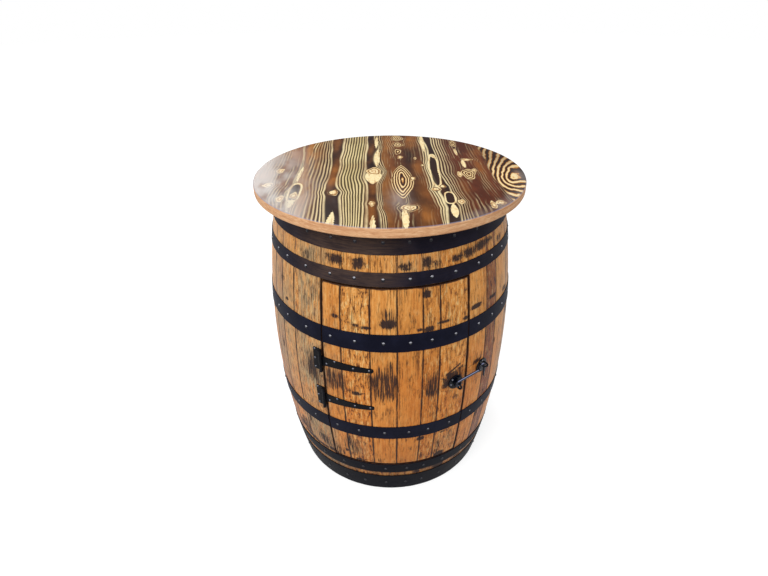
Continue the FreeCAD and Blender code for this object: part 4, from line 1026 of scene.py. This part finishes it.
def make_staves():
    """Whole staves, the door's staves, and what is left of the sawn ones above and below the door."""
    spans = {name: span_of(name) for name in WHOLE_STAVES + DOOR_STAVES}
    for number, name in enumerate(WHOLE_STAVES, 1):
        piece = stave("wood_" + name, spans[name], 0.0, BARREL_HEIGHT, number)
        dress(piece, "barrel", "barrel_wood", name)
    low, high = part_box(DOOR_STAVES[0])
    for number, name in enumerate(DOOR_STAVES, FIRST_DOOR_NUMBER):
        piece = stave("wood_" + name, spans[name], low.z, high.z, number)
        dress(piece, "door", "barrel_wood", name)
    door_seams = [spans[name][1] for name in DOOR_STAVES[:-1]]
    seams = [spans["stave_24"][1] - 2 * math.pi, *door_seams, spans["stave_01"][0]]
    for node in ("short_staves_above_door", "short_staves_below_door"):
        low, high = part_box(node)
        lengths = [
            stave("length", span, low.z, high.z, number)
            for number, span in enumerate(zip(seams, seams[1:]), FIRST_DOOR_NUMBER)
        ]
        dress(join(lengths, "wood_" + node), "barrel", "barrel_wood", node)


# ---- hoops ------------------------------------------------------------------------------------------
def band(name, bottom, top, first, last, offset=0.0, closed=False):
    """Flat steel band on the barrel, with rounded edges and a little unevenness."""
    rows = max(4, round((last - first) / HOOP_PITCH))
    angles = np.linspace(first, last, rows, endpoint=not closed)[:, None]
    turns = np.radians([90, 60, 30, 0])
    sink = HOOP_ARRIS * (1 - np.cos(turns))
    width = top - bottom
    outer_low = bottom + HOOP_ARRIS - HOOP_ARRIS * np.sin(turns)
    outer_high = top - HOOP_ARRIS + HOOP_ARRIS * np.sin(turns)
    face_rows = max(3, round(width / HOOP_FACE_PITCH))
    face_heights = np.linspace(bottom + 2 * HOOP_ARRIS, top - 2 * HOOP_ARRIS, face_rows)
    heights = np.concatenate([[top], outer_high, face_heights[::-1], outer_low[::-1], [bottom]])
    sunk = np.concatenate([[0], sink, np.zeros(len(face_heights)), sink[::-1], [0]])
    layer = np.concatenate([[0], np.ones(len(heights) - 2), [0]])
    dents = DENT_DEPTH * (1 + np.sin(angles * 23 + bottom * 90) * np.cos(angles * 9 + heights * 80))
    ragged = 0.0003 * np.sin(angles * 31 + bottom * 50) + 0.0002 * np.sin(angles * 67)
    full_heights = np.clip(heights + ragged, bottom, top) + 0 * angles
    out = offset + layer * (HOOP_THICKNESS - sunk - dents * (sunk == 0))
    radius = radius_at(0, full_heights) + out
    points = on_axis(angles + 0 * full_heights, radius, full_heights).reshape(-1, 3)
    columns = len(heights)
    faces = tube_faces(rows, columns, closed)
    if not closed:
        faces.append(tuple(range(columns)))
        faces.append(tuple(range(rows * columns - 1, (rows - 1) * columns - 1, -1)))
    faces = [face[::-1] for face in faces]
    return new_piece(name, points, faces, HOOP_STEEL)


def dome(angle, height, offset):
    """Low round rivet head on the barrel's surface."""
    turns = np.radians(np.linspace(0, 360, 16, endpoint=False))
    levels = np.radians([0, 25, 50, 72])
    points = []
    for level in levels:
        for turn in turns:
            across = RIVET_RADIUS * math.cos(level) * math.cos(turn) / BELLY_RADIUS
            up = RIVET_RADIUS * math.cos(level) * math.sin(turn)
            out = radius_at(0, height + up) + offset + RIVET_RISE * math.sin(level)
            points.append(on_axis(angle + across, out, height + up))
    points.append(on_axis(angle, radius_at(0, height) + offset + RIVET_RISE, height))
    faces = tube_faces(len(levels), len(turns))
    last = len(points) - 1
    ring = last - len(turns)
    faces += [(ring + n, ring + (n + 1) % len(turns), last) for n in range(len(turns))]
    return new_piece("rivet", np.array(points), faces, HOOP_STEEL)


def make_hoops():
    """Hoops with a riveted lap at the back, between two nails, and the lengths that stay on the door."""
    seams = [span_of(name)[0] % (2 * math.pi) for name in WHOLE_STAVES]
    back_seam = min(seams, key=lambda angle: abs(angle - math.pi))
    half_lap = LAP_LENGTH / 2 / BELLY_RADIUS
    jamb_first, jamb_last = span_of("stave_01")[0], span_of("stave_24")[1]
    for name in CLOSED_HOOPS + SAWN_HOOPS:
        low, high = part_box(name)
        if name in CLOSED_HOOPS:
            pieces = [band(name, low.z, high.z, 0, 2 * math.pi, closed=True)]
        else:
            pieces = [band(name, low.z, high.z, jamb_first, jamb_last % (2 * math.pi))]
        lap = (back_seam - half_lap, back_seam + half_lap)
        pieces.append(band("lap", low.z + MM, high.z - MM, *lap, offset=HOOP_THICKNESS))
        for side in (-0.5, 0.5):
            angle = back_seam + side * half_lap
            pieces.append(dome(angle, (low.z + high.z) / 2, 2 * HOOP_THICKNESS))
        dress(join(pieces, "steel_" + name), "barrel", "hoop_steel", name)
    first, last = span_of("door_stave_1")[0], span_of("door_stave_6")[1]
    lengths = []
    for name in SAWN_HOOPS:
        low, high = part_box(name)
        lengths.append(band(name, low.z, high.z, first, last))
    dress(join(lengths, "steel_door_hoops"), "door", "hoop_steel", "door_hoops")


# ---- table top --------------------------------------------------------------------------------------
def table_profile(bottom, top, flat):
    """Radii and heights of the table top's rings, from the middle of its face to the middle below."""
    turns = np.radians(np.linspace(0, 90, 6))[1:]
    radii = list(np.linspace(0, flat, TABLE_RINGS)[1:])
    levels = [top] * len(radii)
    radii += list(flat + TABLE_ROUND * np.sin(turns))
    levels += list(top - TABLE_ROUND * (1 - np.cos(turns)))
    side = np.linspace(top - TABLE_ROUND, bottom + TABLE_ROUND, 5)[1:]
    radii += [TABLE_RADIUS] * len(side)
    levels += list(side)
    radii += list(flat + TABLE_ROUND * np.cos(turns))
    levels += list(bottom + TABLE_ROUND * (1 - np.sin(turns)))
    radii += list(np.linspace(flat, 0, 12)[1:-1])
    levels += [bottom] * 10
    return np.array(radii)[:, None], np.array(levels)[:, None]


def make_table_top():
    """Round top with a rounded rim; its fields carry the burnt grain."""
    bottom, top = TABLE_LOW.z, TABLE_HIGH.z
    flat = TABLE_RADIUS - TABLE_ROUND
    radius, level = table_profile(bottom, top, flat)
    angles = np.linspace(0, 2 * math.pi, TABLE_SPOKES, endpoint=False)[None, :]
    near_rim = np.exp(-((radius - TABLE_RADIUS) / RIM_WEAR_REACH) ** 2)
    worn = 1 - RIM_WEAR * near_rim * (1 + np.sin(angles * 7) * np.cos(angles * 12))
    points = on_axis(angles + 0 * radius, radius * worn, level + 0 * angles).reshape(-1, 3)
    points = np.vstack([points, [[0, 0, top], [0, 0, bottom]]])
    faces = [face[::-1] for face in tube_faces(len(radius), TABLE_SPOKES)]
    last = len(radius) * TABLE_SPOKES
    for spoke in range(TABLE_SPOKES):
        after = (spoke + 1) % TABLE_SPOKES
        faces.append((spoke, after, last))
        faces.append((last - TABLE_SPOKES + after, last - TABLE_SPOKES + spoke, last + 1))
    piece = new_piece("burnt_table_top", points, faces, BURNT_PINE, 60.0)
    x, y = points[:, 0] / MM, points[:, 1] / MM
    across = x * math.cos(GRAIN_TURN) - y * math.sin(GRAIN_TURN)
    away = x * math.sin(GRAIN_TURN) + y * math.cos(GRAIN_TURN)
    for name, values in grain_fields(across, away).items():
        add_field(piece, name, values)
    depth = top - points[:, 2]
    rounded = np.hypot(points[:, 0], points[:, 1]) > flat
    add_field(piece, "rim", smooth(depth, 0.0012, 0.0026))
    # Where the painted highlight on the rounded top edge goes.
    add_field(piece, "arris", smooth(depth, 0.0001, 0.0005) * rounded)
    dress(piece, "barrel", "burnt_pine", "table_top")


# ---- CAD nodes that keep their shape ----------------------------------------------------------------
def finish_node(name, material, bevel):
    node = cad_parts[name]
    node.data.materials.clear()
    node.data.materials.append(material)
    if bevel:
        softened = node.modifiers.new("softened_edges", "BEVEL")
        softened.width = bevel
        softened.segments = 2
        softened.limit_method = "ANGLE"
        softened.angle_limit = math.radians(50)


def finish_nodes():
    """Materials of the CAD nodes that stay, and soft edges on the boards among them."""
    black_iron = painted_steel("black_iron", srgb(9, 9, 13), srgb(22, 22, 29), 0.34, 60.0, 0.06)
    rose_iron = painted_steel("rose_iron", srgb(3, 5, 13), srgb(13, 17, 32), 0.12, 90.0, 0.10, 0.0004)
    nails = steel_with_painted_highlight("nail_steel", srgb(158, 158, 166))
    black_screws = steel_with_painted_highlight("screw_steel", srgb(128, 130, 142), 0.0)
    inside_y = plain_wood("boards_along_y", "Y", srgb(132, 92, 54), srgb(196, 154, 104))
    inside_x = plain_wood("boards_along_x", "X", srgb(136, 94, 54), srgb(202, 160, 108))
    upright = plain_wood("upright_boards", "Z", srgb(126, 84, 48), srgb(188, 142, 92))
    finishes = [
        (nails, 0.0, ["barrel_hoop_nails", "door_hoop_nails"]),
        (black_screws, 0.0, ["barrel_hardware_screws", "door_hardware_screws"]),
        (zinc(), 0.0, ["inside_screws", "door_batten_screws", "table_screws"]),
        (black_iron, 0.0, ["hinge_leaves", "hinge_straps", "hinge_pins"]),
        (rose_iron, 0.0, ["door_rose", "catch_rose"]),
        (hook_iron(), 0.0, ["cabin_hook"]),
        (inside_y, 0.0006, ["upper_head", "lower_head"]),
        (inside_x, 0.0008, ["shelf", "table_battens", "door_battens", "shelf_cleats"]),
        (upright, 0.0008, ["door_stop"]),
    ]
    for material, bevel, names in finishes:
        for name in names:
            finish_node(name, material, bevel)


# ---- camera, light and floor ------------------------------------------------------------------------
def make_camera():
    camera = bpy.data.objects.new("camera", bpy.data.cameras.new("camera"))
    bpy.context.scene.collection.objects.link(camera)
    camera.data.sensor_width = SENSOR_WIDTH
    camera.data.lens = FOCAL_PIXELS * SENSOR_WIDTH / PICTURE_WIDTH
    camera.data.shift_x = (PICTURE_WIDTH / 2 - PRINCIPAL_X) / PICTURE_WIDTH
    camera.data.shift_y = (PRINCIPAL_Y - PICTURE_HEIGHT / 2) / PICTURE_WIDTH
    turn = Matrix.Rotation(math.radians(CAMERA_YAW), 4, "Z")
    tilt = Matrix.Rotation(math.radians(90 - CAMERA_PITCH), 4, "X")
    roll = Matrix.Rotation(math.radians(CAMERA_ROLL), 4, "Z")
    camera.matrix_world = Matrix.Translation(CAMERA_PLACE) @ turn @ tilt @ roll
    bpy.context.scene.camera = camera


def area_light(name, place, size, power, colour=(1.0, 1.0, 1.0)):
    light = bpy.data.objects.new(name, bpy.data.lights.new(name, "AREA"))
    bpy.context.scene.collection.objects.link(light)
    light.data.size = size
    light.data.energy = power
    light.data.color = colour
    light.location = place
    light.rotation_mode = "QUATERNION"
    light.rotation_quaternion = (LIGHT_TARGET - place).to_track_quat("-Z", "Y")


def seen_rays(tree):
    """1 for rays from the camera, or from gloss or glass, and 0 for light on the object."""
    path = tree.nodes.new("ShaderNodeLightPath")
    total = path.outputs["Is Camera Ray"]
    for name in ("Is Glossy Ray", "Is Transmission Ray"):
        either = tree.nodes.new("ShaderNodeMath")
        either.operation = "MAXIMUM"
        tree.links.new(total, either.inputs[0])
        tree.links.new(path.outputs[name], either.inputs[1])
        total = either.outputs[0]
    return total


def make_world():
    world = bpy.data.worlds.new("studio")
    bpy.context.scene.world = world
    world.use_nodes = True
    tree = world.node_tree
    background = tree.nodes["Background"]
    background.inputs["Color"].default_value = WHITE
    strength = tree.nodes.new("ShaderNodeMapRange")
    strength.inputs["To Min"].default_value = AMBIENT
    strength.inputs["To Max"].default_value = 1.0
    tree.links.new(seen_rays(tree), strength.inputs["Value"])
    tree.links.new(strength.outputs[0], background.inputs["Strength"])


def make_floor():
    """White floor that keeps the object's shadow."""
    spokes = 64
    angles = np.linspace(0, 2 * math.pi, spokes, endpoint=False)
    points = on_axis(angles, FLOOR_RADIUS + 0 * angles, 0 * angles)
    g = Graph("floor", roughness=0.9, specular_ior_level=0.0)
    paper = g.noise(g.place(), 3.0, 2.0)
    greys = [(share, (albedo, albedo, albedo, 1.0)) for share, albedo in FLOOR_ALBEDOS]
    glow = Value(g, seen_rays(g.tree)) * FLOOR_GLOW
    g.set(base_color=g.ramp(paper, greys), emission_color=WHITE, emission_strength=glow)
    floor = new_piece("floor", points, [tuple(range(spokes))], g.material)


# ---- build ------------------------------------------------------------------------------------------
bpy.context.scene.view_settings.view_transform = "Standard"
BARREL_WOOD = barrel_wood()
BURNT_PINE = burnt_pine()
HOOP_STEEL = painted_steel("hoop_steel", HOOP_PAINT, HOOP_WORN, 0.42, 22.0, 0.045, upper_brown=HOOP_UPPER_BROWN)
make_staves()
make_hoops()
make_table_top()
finish_nodes()
make_camera()
make_world()
area_light("key", KEY_PLACE, KEY_SIZE, KEY_POWER)
area_light("glare", GLARE_PLACE, GLARE_SIZE, GLARE_POWER, GLARE_COLOUR)
make_floor()
